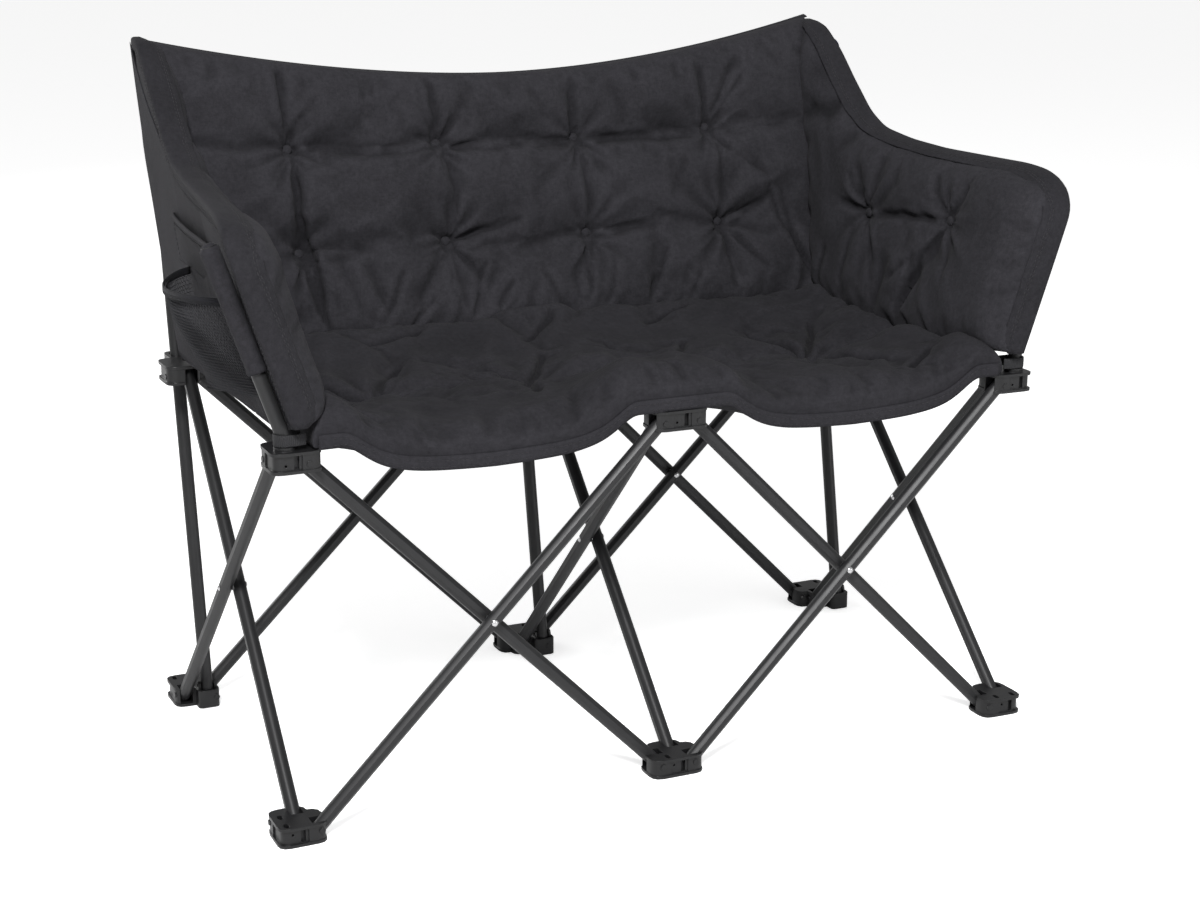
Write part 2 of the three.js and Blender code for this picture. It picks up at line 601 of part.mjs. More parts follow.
// Slab of fabric: two grids of points with a rim between them
function slab(nu, nv, at) {
  const points = [];
  const faces = [];
  const index = (face, i, j) => face * (nu + 1) * (nv + 1) + j * (nu + 1) + i;
  for (const face of [0, 1]) {
    for (let j = 0; j <= nv; j += 1) {
      for (let i = 0; i <= nu; i += 1) points.push(...at(i / nu, j / nv)[face].toArray());
    }
  }
  const quad = (a, b, c, d) => faces.push(a, b, c, a, c, d);
  for (let j = 0; j < nv; j += 1) {
    for (let i = 0; i < nu; i += 1) {
      quad(index(0, i, j), index(0, i + 1, j), index(0, i + 1, j + 1), index(0, i, j + 1));
      quad(index(1, i, j), index(1, i, j + 1), index(1, i + 1, j + 1), index(1, i + 1, j));
    }
  }
  for (let i = 0; i < nu; i += 1) {
    quad(index(1, i, 0), index(1, i + 1, 0), index(0, i + 1, 0), index(0, i, 0));
    quad(index(0, i, nv), index(0, i + 1, nv), index(1, i + 1, nv), index(1, i, nv));
  }
  for (let j = 0; j < nv; j += 1) {
    quad(index(0, 0, j), index(0, 0, j + 1), index(1, 0, j + 1), index(1, 0, j));
    quad(index(1, nu, j), index(1, nu, j + 1), index(0, nu, j + 1), index(0, nu, j));
  }
  const g = new THREE.BufferGeometry();
  g.setAttribute('position', new THREE.BufferAttribute(new Float32Array(points), 3));
  g.setIndex(faces);
  g.computeVertexNormals();
  return g;
}

// Share of full padding, drawn in towards the ends of 0 to 1
const drawn = (t, width) => Math.sqrt(clamp(Math.min(t, 1 - t) / width, 0, 1));
const tufts = (spots, x, y, r) => spots.reduce(
  (most, [tx, ty]) => Math.max(most, bell(Math.hypot(x - tx, y - ty) / r)), 0);

// Seat: hangs between the hubs, with a rolled front
function hubLift(x, y) {
  let most = 0;
  for (const side of SIDES) {
    const d = Math.hypot(x - side * HUB_PITCH, Math.abs(y) - HUB_DEPTH / 2);
    most = Math.max(most, 1 / (1 + (Math.max(0, d - HUB_LIFT) / SEAT.lift) ** 2));
  }
  return most;
}

function seatAt(x, y, share) {
  const rest = HUB_TOP + SEAT.rest;
  const flat = HUB_TOP - SEAT.drop;
  const deep = (y - SEAT_FRONT) / (SEAT_REAR - SEAT_FRONT);
  const side = clamp((share - SEAT.sideFromShare) / (1 - SEAT.sideFromShare), 0, 1);
  const back = clamp((deep - SEAT.rearFromShare) / (1 - SEAT.rearFromShare), 0, 1);
  const rise = Math.hypot(SEAT.sideRise * side * side, SEAT.rearRise * back * back);
  const low = Math.max(lerp(flat, rest, hubLift(x, y)), flat + rise);
  const spots = SEAT_TUFT_SHARES.map((at) => [at * SEAT_HALF, SEAT_SPLIT]);
  const round = drawn(deep, DRAWN.seatDepthShare)
    * drawn((x / SEAT_HALF + 1) / 2, DRAWN.seatWidthShare);
  const channel = bell((y - SEAT_SPLIT) / SEAT.seam) * SEAT.channelShare;
  const dip = SEAT.tuft * tufts(spots, x, y, SEAT.tuftR);
  const thick = lerp(SEAT.edge, SEAT.crown, round * (1 - channel)) - dip;
  return [low, low + thick];
}

function seatPad(y0, y1, gap0, gap1) {
  return slab(...GRID.seat, (u, v) => {
    const s = 2 * u - 1;
    const y = lerp(y0 + gap0, y1 - gap1, v);
    const x = s * (SEAT_HALF + SEAT.swell * (1 - hubLift(SEAT_HALF, y)));
    const [low, high] = seatAt(x, y, Math.abs(s));
    return [new THREE.Vector3(x, y, high), new THREE.Vector3(x, y, low)];
  });
}
add('seat_front_pad', seatPad(SEAT_FRONT, SEAT_SPLIT, 0, TOUCH), 'fabric');
add('seat_rear_pad', seatPad(SEAT_SPLIT, SEAT_REAR, TOUCH, 0), 'fabric');

// Back: a flat rear face that leans on the tops of the posts, a padded and tufted front face
const backTop = (share) => HUB_TOP + BACK.sagTop
  + (BACK.rise + Math.sign(share) * BACK.shift) * Math.abs(share) ** BACK.bowShare;

// Middle surface of an arm pad, given as sideways distance from the middle of the seat
function armX(side, y, z) {
  const t = (ARM_REAR - y) / (ARM_REAR - ARM_FRONT);
  const inside = SLEEVE_R + ARM.edge / 2;
  const low = lerp(ARM.rearLow, ARM_SEAT_X - inside + ARM.lowOut, t);
  const high = lerp(ARM.rearTop + side * BACK.shift, ARM_TIP.side - inside + ARM.topOut, t);
  const top = lerp(BACK.sagTop + BACK.rise, ARM_TIP.up, clamp(t, 0, 1));
  const wrap = smooth((ARM_FRONT + ARM.wrap - y) / ARM.wrap);
  const up = (z - HUB_TOP - ARM.low) / (top - ARM.low);
  return HUB_PITCH + lerp(low, high, up) + ARM.flare * wrap;
}

const backHalf = (side, z) => armX(side, backY(z), z) + ARM.edge / 2;

const normal = new THREE.Vector3(0, -Math.cos(BACK.lean), Math.sin(BACK.lean));
add('back_pad', slab(...GRID.back, (u, v) => {
  const s = 2 * u - 1;
  const side = s < 0 ? -1 : 1;
  const z0 = lerp(HUB_TOP + BACK.low, backTop(s), v);
  const half = backHalf(side, z0);
  const x = s * half;
  const wide = backHalf(1, HUB_TOP + BACK_ROWS[0]);
  const spots = BACK_ROWS.flatMap((up) => BACK_TUFT_SHARES.map((at) => [at * wide, HUB_TOP + up]));
  const round = drawn(u, DRAWN.backWidthShare) * drawn(v, DRAWN.backHeightShare);
  const seam = Math.max(...BACK_ROWS.map((up) => bell((z0 - HUB_TOP - up) / BACK.seamR)));
  const thick = lerp(BACK.edge, BACK.crown - BACK.seam * seam, round)
    - BACK.tuft * tufts(spots, x, z0, BACK.tuftR) * round;
  const rear = new THREE.Vector3(x, backY(z0), z0);
  return [rear.clone().addScaledVector(normal, Math.max(thick, BACK.edge)), rear];
}), 'fabric');

// Arms
function armPoint(side, y, z, out) {
  return new THREE.Vector3(side * (armX(side, y, z) + out), y, z);
}

function armPad(side) {
  const first = (face) => (side < 0 ? face : 1 - face);
  const spots = ARM_TUFT_SHARES.map(([far, up]) => [
    lerp(ARM_REAR, ARM_FRONT, far), HUB_TOP + ARM_TIP.up * up]);
  return slab(...GRID.arm, (u, v) => {
    const low = HUB_TOP + ARM.lowRise * along(ARM_LOW_SHARES, u);
    const high = HUB_TOP + ARM.peak * along(ARM_TOP_SHARES, u);
    const z = lerp(low, high, v);
    const y = lerp(backY(z) - BACK.edge - ARM.seam, ARM_FRONT, u);
    const round = drawn(u, DRAWN.armLengthShare) * drawn(v, DRAWN.armHeightShare);
    const dip = ARM.tuft * tufts(spots, y, z, ARM.tuftR) * round;
    const thick = lerp(ARM.edge, ARM.crown, round) - dip;
    const pair = [armPoint(side, y, z, ARM.edge / 2), armPoint(side, y, z, ARM.edge / 2 - thick)];
    return [pair[first(0)], pair[first(1)]];
  });
}
for (const side of [-1, 1]) add(`arm_pad_${SIDE_NAMES[side]}`, armPad(side), 'fabric');

// Fabric sleeve over each arm tube, closed at the tip
for (const side of [-1, 1]) {
  const from = armKnee(side).lerp(armTip(side), SLEEVE.fromShare);
  const length = armKnee(side).distanceTo(armTip(side)) * (SLEEVE.toShare - SLEEVE.fromShare);
  const body = extruded(circle(SLEEVE_R), 0, length + SLEEVE.wall, ROUND / 2)
    .subtract(extruded(circle(SLEEVE_R - SLEEVE.wall), -length, length, ROUND / 2));
  const turn = new THREE.Quaternion().setFromUnitVectors(Z, armDir(side));
  const m = new THREE.Matrix4().compose(from, turn, new THREE.Vector3(1, 1, 1));
  add(`arm_sleeve_${SIDE_NAMES[side]}`, surface(body).applyMatrix4(m), 'fabric');
}

// Fabric caps that hold the back on its posts
for (const side of SIDES) {
  const top = postLength(side) + CAP.clear;
  const end = top + CAP.top;
  const low = top - CAP.high;
  const round = extruded(circle(CAP.r), low, end, ROUND / 2);
  const web = box(-CAP.web, CAP.web, -CAP.reach, 0, low + BURIED, end - BURIED);
  const bore = extruded(circle(TUBE_R + CAP.clear), 0, top, ROUND / 2);
  const cap = surface(round.add(web).subtract(bore)).applyMatrix4(postPlace(side));
  const slope = new THREE.Matrix4().makeRotationX(-BACK.lean)
    .setPosition(0, backY(HUB_TOP) + TOUCH, HUB_TOP);
  const front = new THREE.BoxGeometry(CAP.reach, CAP.reach, 2 * POST_TOP)
    .translate(postFoot(side).x, -CAP.reach / 2, 0);
  add(`post_cap_${SIDE_NAMES[side]}`, solid(cap).subtract(solid(front, slope)), 'fabric');
}

// Webbing loop round the foot of each arm tube
for (const side of [-1, 1]) {
  const base = armBase(side);
  const outline = (inset) => roundedRect(
    -WEB_HALF + inset, WEB_HALF - inset, -WEB_ROUND + inset, WEB_ROUND - inset,
    WEB_ROUND - WEB.blunt - inset);
  const low = HUB_TOP + COLLAR_RISE + TOUCH;
  const body = extruded(outline(0), low, low + WEB.high)
    .subtract(extruded(outline(WEB.wall), low - WEB.high, low + 2 * WEB.high));
  add(`webbing_${SIDE_NAMES[side]}`, body.translate([base.x - side * WEB.shift, base.y, 0]),
    'fabric');
}

// Net pocket and patch pocket on the outer side of the left arm
const outerFace = ARM.edge / 2 + TOUCH;
const armPlace = (share) => lerp(ARM_REAR, ARM_FRONT, share);
const pocketSpan = (y) => (armPlace(POCKET.rearShare) - y)
  / (armPlace(POCKET.rearShare) - armPlace(POCKET.frontShare));
const pocketTop = (y) => HUB_TOP + PATCH.low
  - lerp(2 * TOUCH, RIM.drop, smooth(1 - pocketSpan(y)));
const pocketLow = (y) => HUB_TOP + lerp(POCKET.lowRear, POCKET.lowFront, pocketSpan(y));

function pouch([nu, nv], spec, bulge, topOf, lowOf) {
  return slab(nu, nv, (u, v) => {
    const y = lerp(armPlace(spec.rearShare), armPlace(spec.frontShare), u);
    const z = lerp(lowOf(y), topOf(y), v);
    const belly = Math.sin(Math.PI * u) ** 0.7 * Math.sin(QUARTER * v) ** 0.8;
    const out = outerFace + bulge * belly;
    const sheet = spec.sheet;
    return [armPoint(-1, y, z, out + sheet), armPoint(-1, y, z, out)];
  });
}
add('net_pocket', pouch(GRID.net, POCKET, POCKET.bulge, pocketTop, pocketLow), 'mesh');
add('patch_pocket', pouch(GRID.patch, PATCH, PATCH.gap, () => HUB_TOP + PATCH.top,
  () => HUB_TOP + PATCH.low), 'fabric');

// Elastic rim on the mouth of the net pocket
{
  const spots = [];
  for (let i = 0; i <= GRID.net[0]; i += 1) {
    const u = i / GRID.net[0];
    const y = lerp(armPlace(POCKET.rearShare), armPlace(POCKET.frontShare), u);
    const belly = Math.sin(Math.PI * u) ** 0.7;
    const z = pocketTop(y) + RIM.lift;
    spots.push(armPoint(-1, y, z, outerFace + RIM.r + (POCKET.bulge - RIM.r) * belly));
  }
  add('pocket_rim', rod(spots, RIM.r), 'fabric');
}

function rod(points, r) {
  const segments = 6;
  const rows = [];
  points.forEach((p, i) => {
    const dir = points[Math.min(i + 1, points.length - 1)].clone()
      .sub(points[Math.max(i - 1, 0)]).normalize();
    const right = new THREE.Vector3().crossVectors(Z, dir).normalize();
    const up = new THREE.Vector3().crossVectors(dir, right);
    rows.push((k) => {
      const a = (k / segments) * 4 * QUARTER;
      return p.clone().addScaledVector(right, r * Math.cos(a)).addScaledVector(up, r * Math.sin(a));
    });
  });
  const pointsOut = [];
  const faces = [];
  for (const row of rows) for (let k = 0; k < segments; k += 1) pointsOut.push(...row(k).toArray());
  for (let i = 0; i < rows.length - 1; i += 1) {
    for (let k = 0; k < segments; k += 1) {
      const l = (k + 1) % segments;
      const [a, b, c, d] = [i * segments + k, i * segments + l, (i + 1) * segments + l,
        (i + 1) * segments + k];
      faces.push(a, b, c, a, c, d);
    }
  }
  const last = (rows.length - 1) * segments;
  for (let k = 1; k < segments - 1; k += 1) {
    faces.push(0, k + 1, k, last, last + k, last + k + 1);
  }
  const g = new THREE.BufferGeometry();
  g.setAttribute('position', new THREE.BufferAttribute(new Float32Array(pointsOut), 3));
  g.setIndex(faces);
  g.computeVertexNormals();
  return g;
}

export default group;
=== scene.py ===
import math

import bmesh
import bpy
import numpy as np
from mathutils import Matrix, Vector
from mathutils.bvhtree import BVHTree


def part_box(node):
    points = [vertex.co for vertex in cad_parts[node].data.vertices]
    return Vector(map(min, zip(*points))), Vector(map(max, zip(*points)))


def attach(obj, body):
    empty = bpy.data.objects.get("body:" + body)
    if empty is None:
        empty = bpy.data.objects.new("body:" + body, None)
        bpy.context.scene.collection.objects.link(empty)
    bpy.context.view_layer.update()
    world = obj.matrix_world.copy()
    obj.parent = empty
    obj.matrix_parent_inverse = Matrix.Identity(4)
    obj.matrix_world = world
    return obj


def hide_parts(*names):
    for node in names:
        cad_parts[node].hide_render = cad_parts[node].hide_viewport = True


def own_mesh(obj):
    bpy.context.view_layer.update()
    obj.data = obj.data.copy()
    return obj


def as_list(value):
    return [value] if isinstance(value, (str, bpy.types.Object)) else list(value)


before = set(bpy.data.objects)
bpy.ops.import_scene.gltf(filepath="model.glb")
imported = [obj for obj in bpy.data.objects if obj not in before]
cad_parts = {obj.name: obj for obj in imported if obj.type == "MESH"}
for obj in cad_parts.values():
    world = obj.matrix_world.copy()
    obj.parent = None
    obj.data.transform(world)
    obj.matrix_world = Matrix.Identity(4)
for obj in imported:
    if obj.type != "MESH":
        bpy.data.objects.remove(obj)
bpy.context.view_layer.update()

# Lengths below are millimetres in a frame whose y is 0 midway between the rows of feet;
# make_object() turns them into metres in the shared frame.
lo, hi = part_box("rivet_side_centre")
MIDDLE_Y = -(lo.y + hi.y) / 2 * 1000

HUB_PITCH, HUB_X, HUB_D, HUB_TOP = 543.5, 534.5, 531.5, 518.0
SEAT_FRONT, SEAT_SPLIT, SEAT_REAR, SEAT_HALF, SEAT_UNDER = -288.0, -36.1, 224.0, 508.0, 471
BACK_HALF, BACK_FOOT_Y, BACK_FOOT_Z, LEAN = 567, 240, 505, math.radians(18.5)
BACK_NORMAL = np.array([0, -math.cos(LEAN), math.sin(LEAN)])
BACK_TUFTS = [(-345, 801), (-115, 798), (115, 798), (345, 803),
              (-345, 655), (-115, 659), (115, 656), (345, 659)]
SEAT_TUFTS = [(x, SEAT_SPLIT) for x in (-340, -117, 117, 340)]
ARM_TUFTS = [(79, 697), (-116, 711)]
ARM_TOP = [(362, 970), (325, 966), (285, 932), (245, 884), (205, 842), (160, 818), (86, 808),
           (0, 803), (-100, 802), (-200, 801), (-250, 794), (-280, 778), (-300, 748)]
ARM_LOW = [(240, 524), (-120, 526), (-250, 544), (-302, 550)]
ARM_FRONT, ARM_EDGE, ARM_OVERLAP = -300.0, 11.0, 26

# Columns and rows of each padded surface, its size, and its thickness at the edge, in the middle
# and at least
BACK_MESH, SEAT_MESH, ARM_MESH = (165, 70), (150, 42), (84, 46)
BACK_SIZE, SEAT_WIDE, ARM_SIZE = (1130, 430), 1020, (560, 270)
BACK_THICK, SEAT_THICK, ARM_THICK = (12, 47, 9), (17, 47, 12), (ARM_EDGE, 52, 8)


# Small maths
def lerp(a, b, t):
    return a + (b - a) * t


def clip(t):
    return np.clip(t, 0, 1)


def smooth(t):
    t = clip(t)
    return t * t * (3 - 2 * t)


def bell(d, w):
    return np.exp(-(d / w) ** 2)


def inset(t):
    """Distance of a share from the nearer of its ends, 0 and 1."""
    return np.minimum(t, 1 - t)


def faded(t, width):
    """1 along a share, falling to 0 within a width of both ends."""
    return smooth(t / width) * smooth((1 - t) / width)


def run(points):
    """Distance of each point of a line from its start."""
    return np.concatenate([[0], np.cumsum(np.linalg.norm(np.diff(points, axis=0), axis=1))])


def unit(vectors):
    lengths = np.linalg.norm(vectors, axis=-1, keepdims=True)
    return vectors / np.maximum(lengths, 1e-9)


def around(x, y, spots):
    """Distance from each spot, and the direction seen from it."""
    for tx, ty in spots:
        yield np.hypot(x - tx, y - ty), np.arctan2(y - ty, x - tx)


def unit_grid(cols, rows):
    """Shares across and up a grid, both from 0 to 1."""
    return np.meshgrid(np.linspace(0, 1, cols), np.linspace(0, 1, rows))


def table(rows, at):
    xs = np.array([r[0] for r in rows][::-1], float)
    vs = np.array([r[1] for r in rows][::-1], float)
    return np.interp(at, xs, vs)


def noise(x, y, seed):
    """Smooth value noise between -1 and 1 on a wrapped grid."""
    grid = np.random.default_rng(seed).uniform(-1, 1, (64, 64))
    x0, y0 = np.floor(x).astype(int), np.floor(y).astype(int)
    fx, fy = smooth(x - x0), smooth(y - y0)

    def g(i, j):
        return grid[(x0 + i) % 64, (y0 + j) % 64]

    return lerp(lerp(g(0, 0), g(1, 0), fx), lerp(g(0, 1), g(1, 1), fx), fy)


def cloudy(x, y, size, seed):
    total = 0
    for k in range(3):
        total = total + noise(x / size * 2 ** k, y / size * 2 ** k, seed + k) / 2 ** k
    return total


def folds(x, y, size, seed, turn=0.0, stretch=4.0):
    """Long soft ridges, stretched along a direction."""
    c, s = math.cos(turn), math.sin(turn)
    a, b = c * x + s * y, -s * x + c * y
    return 1 - 2 * np.abs(noise(a / (size * stretch), b / size, seed))


def from_line(x, y, a, b):
    """Share along the line from a to b, distance off it, and the line's length."""
    d = np.array(b, float) - np.array(a, float)
    length = np.hypot(*d)
    t = ((x - a[0]) * d[0] + (y - a[1]) * d[1]) / length ** 2
    return t, ((x - a[0]) * d[1] - (y - a[1]) * d[0]) / length, length


def crease(x, y, a, b, width, ends=0.25):
    """1 on the line from a to b, falling off across it and towards its ends."""
    t, off, length = from_line(x, y, a, b)
    off = off + 3 * np.sin(t * length / 31 + a[0])
    return bell(off, width) * faded(t, ends)


def creased(pull, x, y, creases):
    for a, b, width, depth in creases:
        pull = pull + depth * crease(x, y, a, b, width)
    return pull


def star(x, y, spots, inner, outer, seed):
    """Wrinkles that run out from each button."""
    total = np.zeros_like(x)
    g = np.random.default_rng(seed)
    for r, a in around(x, y, spots):
        n, p, q = g.integers(6, 10), g.uniform(0, 6.3), g.uniform(0, 6.3)
        wave = np.cos(n * a + p + 0.8 * np.sin(2 * a + q) + r / 60)
        total = total + wave * smooth(r / inner) * np.exp(-(r / outer) ** 2)
    return total


def dips(x, y, spots, wide, narrow):
    total = np.zeros_like(x)
    for r, _ in around(x, y, spots):
        total = np.maximum(total, 0.62 * np.exp(-r / wide) + 0.38 * bell(r, narrow))
    return total


def nose(t, width, power=2.3):
    """Rounded edge: 0 at t = 0, full from t = width on."""
    return (1 - (1 - clip(t / width)) ** power) ** (1 / power)


# Materials
class Look:
    """A material being built: its node tree, with short ways to add to it."""

    def __init__(self, name):
        self.material = bpy.data.materials.new(name)
        self.material.use_nodes = True
        tree = self.material.node_tree
        self.nodes, self.links = tree.nodes, tree.links
        self.shader = self.nodes["Principled BSDF"]

    def join(self, out, node, socket):
        self.links.new(out, node.inputs[socket])

    def set(self, values):
        for socket, value in values.items():
            self.shader.inputs[socket].default_value = value

    def place(self):
        return self.nodes.new("ShaderNodeTexCoord").outputs["Object"]

    def cloth(self):
        """The cloth's own coordinates in metres, whole and split into X and Y."""
        uv = self.nodes.new("ShaderNodeUVMap")
        uv.uv_map = "cloth"
        split = self.nodes.new("ShaderNodeSeparateXYZ")
        self.join(uv.outputs[0], split, 0)
        return uv.outputs[0], split.outputs

    def maths(self, kind, *values):
        n = self.nodes.new("ShaderNodeMath")
        n.operation = kind
        for i, v in enumerate(values):
            if isinstance(v, (int, float)):
                n.inputs[i].default_value = v
            else:
                self.join(v, n, i)
        return n.outputs[0]

    def wave(self, length, pitch):
        """Sine along a length in metres, with a pitch in millimetres."""
        return self.maths("SINE", self.maths("MULTIPLY", length, 2 * math.pi / (pitch / 1000)))

    def noise(self, where, **values):
        n = self.nodes.new("ShaderNodeTexNoise")
        for socket, value in values.items():
            n.inputs[socket].default_value = value
        self.join(where, n, "Vector")
        return n.outputs["Fac"]

    def mix(self, low, high, factor):
        n = self.nodes.new("ShaderNodeMix")
        n.data_type = "RGBA"
        for socket, value in (("A", low), ("B", high)):
            if isinstance(value, bpy.types.NodeSocket):
                self.join(value, n, socket)
            else:
                n.inputs[socket].default_value = (*value, 1)
        self.join(factor, n, "Factor")
        return n.outputs["Result"]

    def finish(self, height, relief, distance, normal=None):
        """Adds the bump and gives back the material."""
        n = self.nodes.new("ShaderNodeBump")
        n.inputs["Strength"].default_value = relief
        n.inputs["Distance"].default_value = distance
        self.join(height, n, "Height")
        if normal:
            self.join(normal, n, "Normal")
        self.join(n.outputs[0], self.shader, "Normal")
        return self.material


def times(colour, factor):
    return [c * factor for c in colour]


def fabric(name, colour, pitch=1.15, relief=0.6, mottle=0.30, painted_crease_shade=-0.34):
    """Matt canvas: plain weave, thicker yarns here and there, mottling, flecks, painted crease
    shade.
    """
    look = Look(name)
    uv, along = look.cloth()
    place = look.place()
    weave = look.maths("MULTIPLY", look.wave(along["X"], pitch), look.wave(along["Y"], pitch))
    slubs = []
    for scale in ((60, 1400, 1), (1400, 60, 1)):
        stretch = look.nodes.new("ShaderNodeMapping")
        stretch.inputs["Scale"].default_value = scale
        look.join(uv, stretch, "Vector")
        slubs.append(look.noise(stretch.outputs[0], Scale=1.0, Detail=2.0))
    yarn = look.maths("ADD", *slubs)
    patches = look.noise(place, Scale=9.0, Detail=5.0, Roughness=0.6)
    flecks = look.noise(place, Scale=150.0, Detail=4.0, Roughness=0.85)
    shade = look.maths("ADD", look.maths("MULTIPLY_ADD", yarn, 0.55, -0.28), patches)
    shade = look.maths("ADD", shade, look.maths("MULTIPLY", flecks, 2.0))
    shade = look.maths("SUBTRACT", shade, 1.27)
    shade = look.maths("ADD", shade, look.maths("MULTIPLY", weave, 0.18))
    # Painted shade: the 'fold' attribute darkens the colour in creases by up to a third, and
    # lightens ridges a little as a painted highlight.
    fold = look.nodes.new("ShaderNodeAttribute")
    fold.attribute_name = "fold"
    crease_shading = look.nodes.new("ShaderNodeVectorMath")
    crease_shading.operation = "SCALE"
    look.join(look.mix(times(colour, 1 - mottle), times(colour, 1 + mottle), shade), crease_shading, 0)
    look.join(look.maths("MULTIPLY_ADD", fold.outputs["Fac"], painted_crease_shade, 1.0), crease_shading, "Scale")
    look.join(crease_shading.outputs[0], look.shader, "Base Color")
    look.join(look.maths("MULTIPLY_ADD", patches, 0.12, 0.80), look.shader, "Roughness")
    look.set({"Sheen Weight": 0.02, "Sheen Roughness": 0.55, "Specular IOR Level": 0.05})
    crinkle = look.noise(place, Scale=75.0, Detail=4.0, Roughness=0.62)
    height = look.maths("MULTIPLY", weave, 0.2)
    height = look.maths("ADD", height, look.maths("MULTIPLY", yarn, 0.35))
    height = look.maths("ADD", height, look.maths("MULTIPLY", crinkle, 1.6))
    return look.finish(height, relief, 0.0006)


def ribbed(name, colour, pitch, across="X"):
    """Woven tape with ribs across or along it."""
    look = Look(name)
    rib = look.wave(look.cloth()[1][across], pitch)
    fine = look.noise(look.place(), Scale=420.0, Detail=3.0)
    height = look.maths("ADD", look.maths("MULTIPLY", rib, 0.5), fine)
    shade = look.maths("MULTIPLY_ADD", height, 0.4, 0.2)
    look.join(look.mix(times(colour, 0.7), times(colour, 1.3), shade), look.shader, "Base Color")
    look.set({"Roughness": 0.78, "Sheen Weight": 0.03, "Specular IOR Level": 0.12})
    return look.finish(height, 0.8, 0.0005)


def coated(name, colour, roughness, metallic, grain, relief, wear=0.0, edge=0.0):
    """Satin coat or moulded plastic: fine grain, faint blotches, paler rubbed spots."""
    look = Look(name)
    place = look.place()
    fine = look.noise(place, Scale=grain, Detail=2.0)
    broad = look.noise(place, Scale=22.0, Detail=4.0, Roughness=0.6)
    base = look.mix(times(colour, 1 - 0.12), times(colour, 1 + 0.14), broad)
    if wear:
        ramp = look.nodes.new("ShaderNodeValToRGB")
        for stop, position in zip(ramp.color_ramp.elements, (0.66, 0.74)):
            stop.position = position
        look.join(broad, ramp, 0)
        spots = look.maths("MULTIPLY", ramp.outputs[0], wear)
        base = look.mix(base, times(colour, 2.2), spots)
    look.join(base, look.shader, "Base Color")
    look.join(look.maths("MULTIPLY_ADD", broad, 0.16, roughness - 0.08), look.shader, "Roughness")
    look.set({"Metallic": metallic, "Specular IOR Level": 0.36})
    rounded = None
    if edge:
        bevel = look.nodes.new("ShaderNodeBevel")
        bevel.samples = 6
        bevel.inputs["Radius"].default_value = edge
        rounded = bevel.outputs[0]
    return look.finish(fine, relief, 0.0002, rounded)


FABRIC_RGB = (0.0235, 0.0228, 0.0262)
canvas = fabric("canvas", FABRIC_RGB)
# A darker copy of the canvas: painted shade, so that the seat, which faces the key lamp, is no
# lighter than the back; the hems, binding and caps use it too.
canvas_painted_shade = fabric("canvas_painted_shade", times(FABRIC_RGB, 0.86))
thread = ribbed("thread", (0.029, 0.028, 0.031), 1.6)
webbing = ribbed("webbing", (0.026, 0.026, 0.028), 2.4)
elastic = ribbed("elastic", (0.009, 0.009, 0.012), 1.8, across="Y")
net_yarn = ribbed("net_yarn", (0.036, 0.036, 0.040), 1.4)
navy = ribbed("navy_tape", (0.010, 0.012, 0.040), 1.1)
steel = coated("satin_steel", (0.0205, 0.0205, 0.0215), 0.42, 0.2, 1500.0, 0.25, wear=0.15)
plastic = coated("satin_plastic", (0.0105, 0.0105, 0.0112), 0.36, 0.0, 900.0, 0.35, edge=0.0009)
bright = coated("rivet_steel", (0.62, 0.62, 0.63), 0.30, 1.0, 700.0, 0.2)


# Meshes
def link(name, data):
    ob = bpy.data.objects.new(name, data)
    bpy.context.scene.collection.objects.link(ob)
    return ob


def in_metres(points):
    """The scene's points in the metres of the shared frame."""
    co = np.array(points, float).reshape(-1, 3)
    co[:, 1] -= MIDDLE_Y
    return co / 1000


def edit(me, change):
    bm = bmesh.new()
    bm.from_mesh(me)
    change(bm)
    bm.to_mesh(me)
    bm.free()


def make_object(name, points, faces, material, uv=None):
    me = bpy.data.meshes.new(name)
    me.from_pydata(in_metres(points).tolist(), [], [tuple(int(i) for i in f) for f in faces])
    if uv is not None:
        layer = me.uv_layers.new(name="cloth")
        corner = read(me.loops, "vertex_index", 1, int).ravel()
        layer.data.foreach_set("uv", (np.array(uv, float).reshape(-1, 2)[corner] / 1000).ravel())
    edit(me, lambda bm: bmesh.ops.recalc_face_normals(bm, faces=bm.faces))
    me.polygons.foreach_set("use_smooth", [True] * len(me.polygons))
    me.materials.append(material)
    return link(name, me)


def grid_faces(rows, cols, start=0, wrap=False):
    faces = []
    for j in range(rows - 1):
        for i in range(cols - 1 + wrap):
            a, b = start + j * cols + i, start + j * cols + (i + 1) % cols
            faces.append((a, b, b + cols, a + cols))
    return faces


def end_faces(rows, cols, start=0):
    """Faces that close the first and the last of a row of rings."""
    first, last = range(start, start + cols), start + (rows - 1) * cols
    return [tuple(first)[::-1], tuple(last + i for i in range(cols))]


def closed_faces(rows, cols):
    """Two grids of the same size, one behind the other, joined round their rim."""
    n = rows * cols
    faces = grid_faces(rows, cols) + [f[::-1] for f in grid_faces(rows, cols, n)]
    rim = ([i for i in range(cols)] + [(j + 1) * cols - 1 for j in range(1, rows)]
           + [(rows - 1) * cols + i for i in range(cols - 2, -1, -1)]
           + [j * cols for j in range(rows - 2, 0, -1)])
    for k, a in enumerate(rim):
        b = rim[(k + 1) % len(rim)]
        faces.append((b, a, a + n, b + n))
    return faces


def grid_uv(grid):
    """Distances along the rows and columns of a grid of points."""
    du = np.linalg.norm(np.diff(grid, axis=1), axis=2)
    dv = np.linalg.norm(np.diff(grid, axis=0), axis=2)
    u = np.concatenate([np.zeros((grid.shape[0], 1)), np.cumsum(du, 1)], 1)
    v = np.concatenate([np.zeros((1, grid.shape[1])), np.cumsum(dv, 0)], 0)
    return np.stack([u - u[:, -1:] / 2, v], 2)


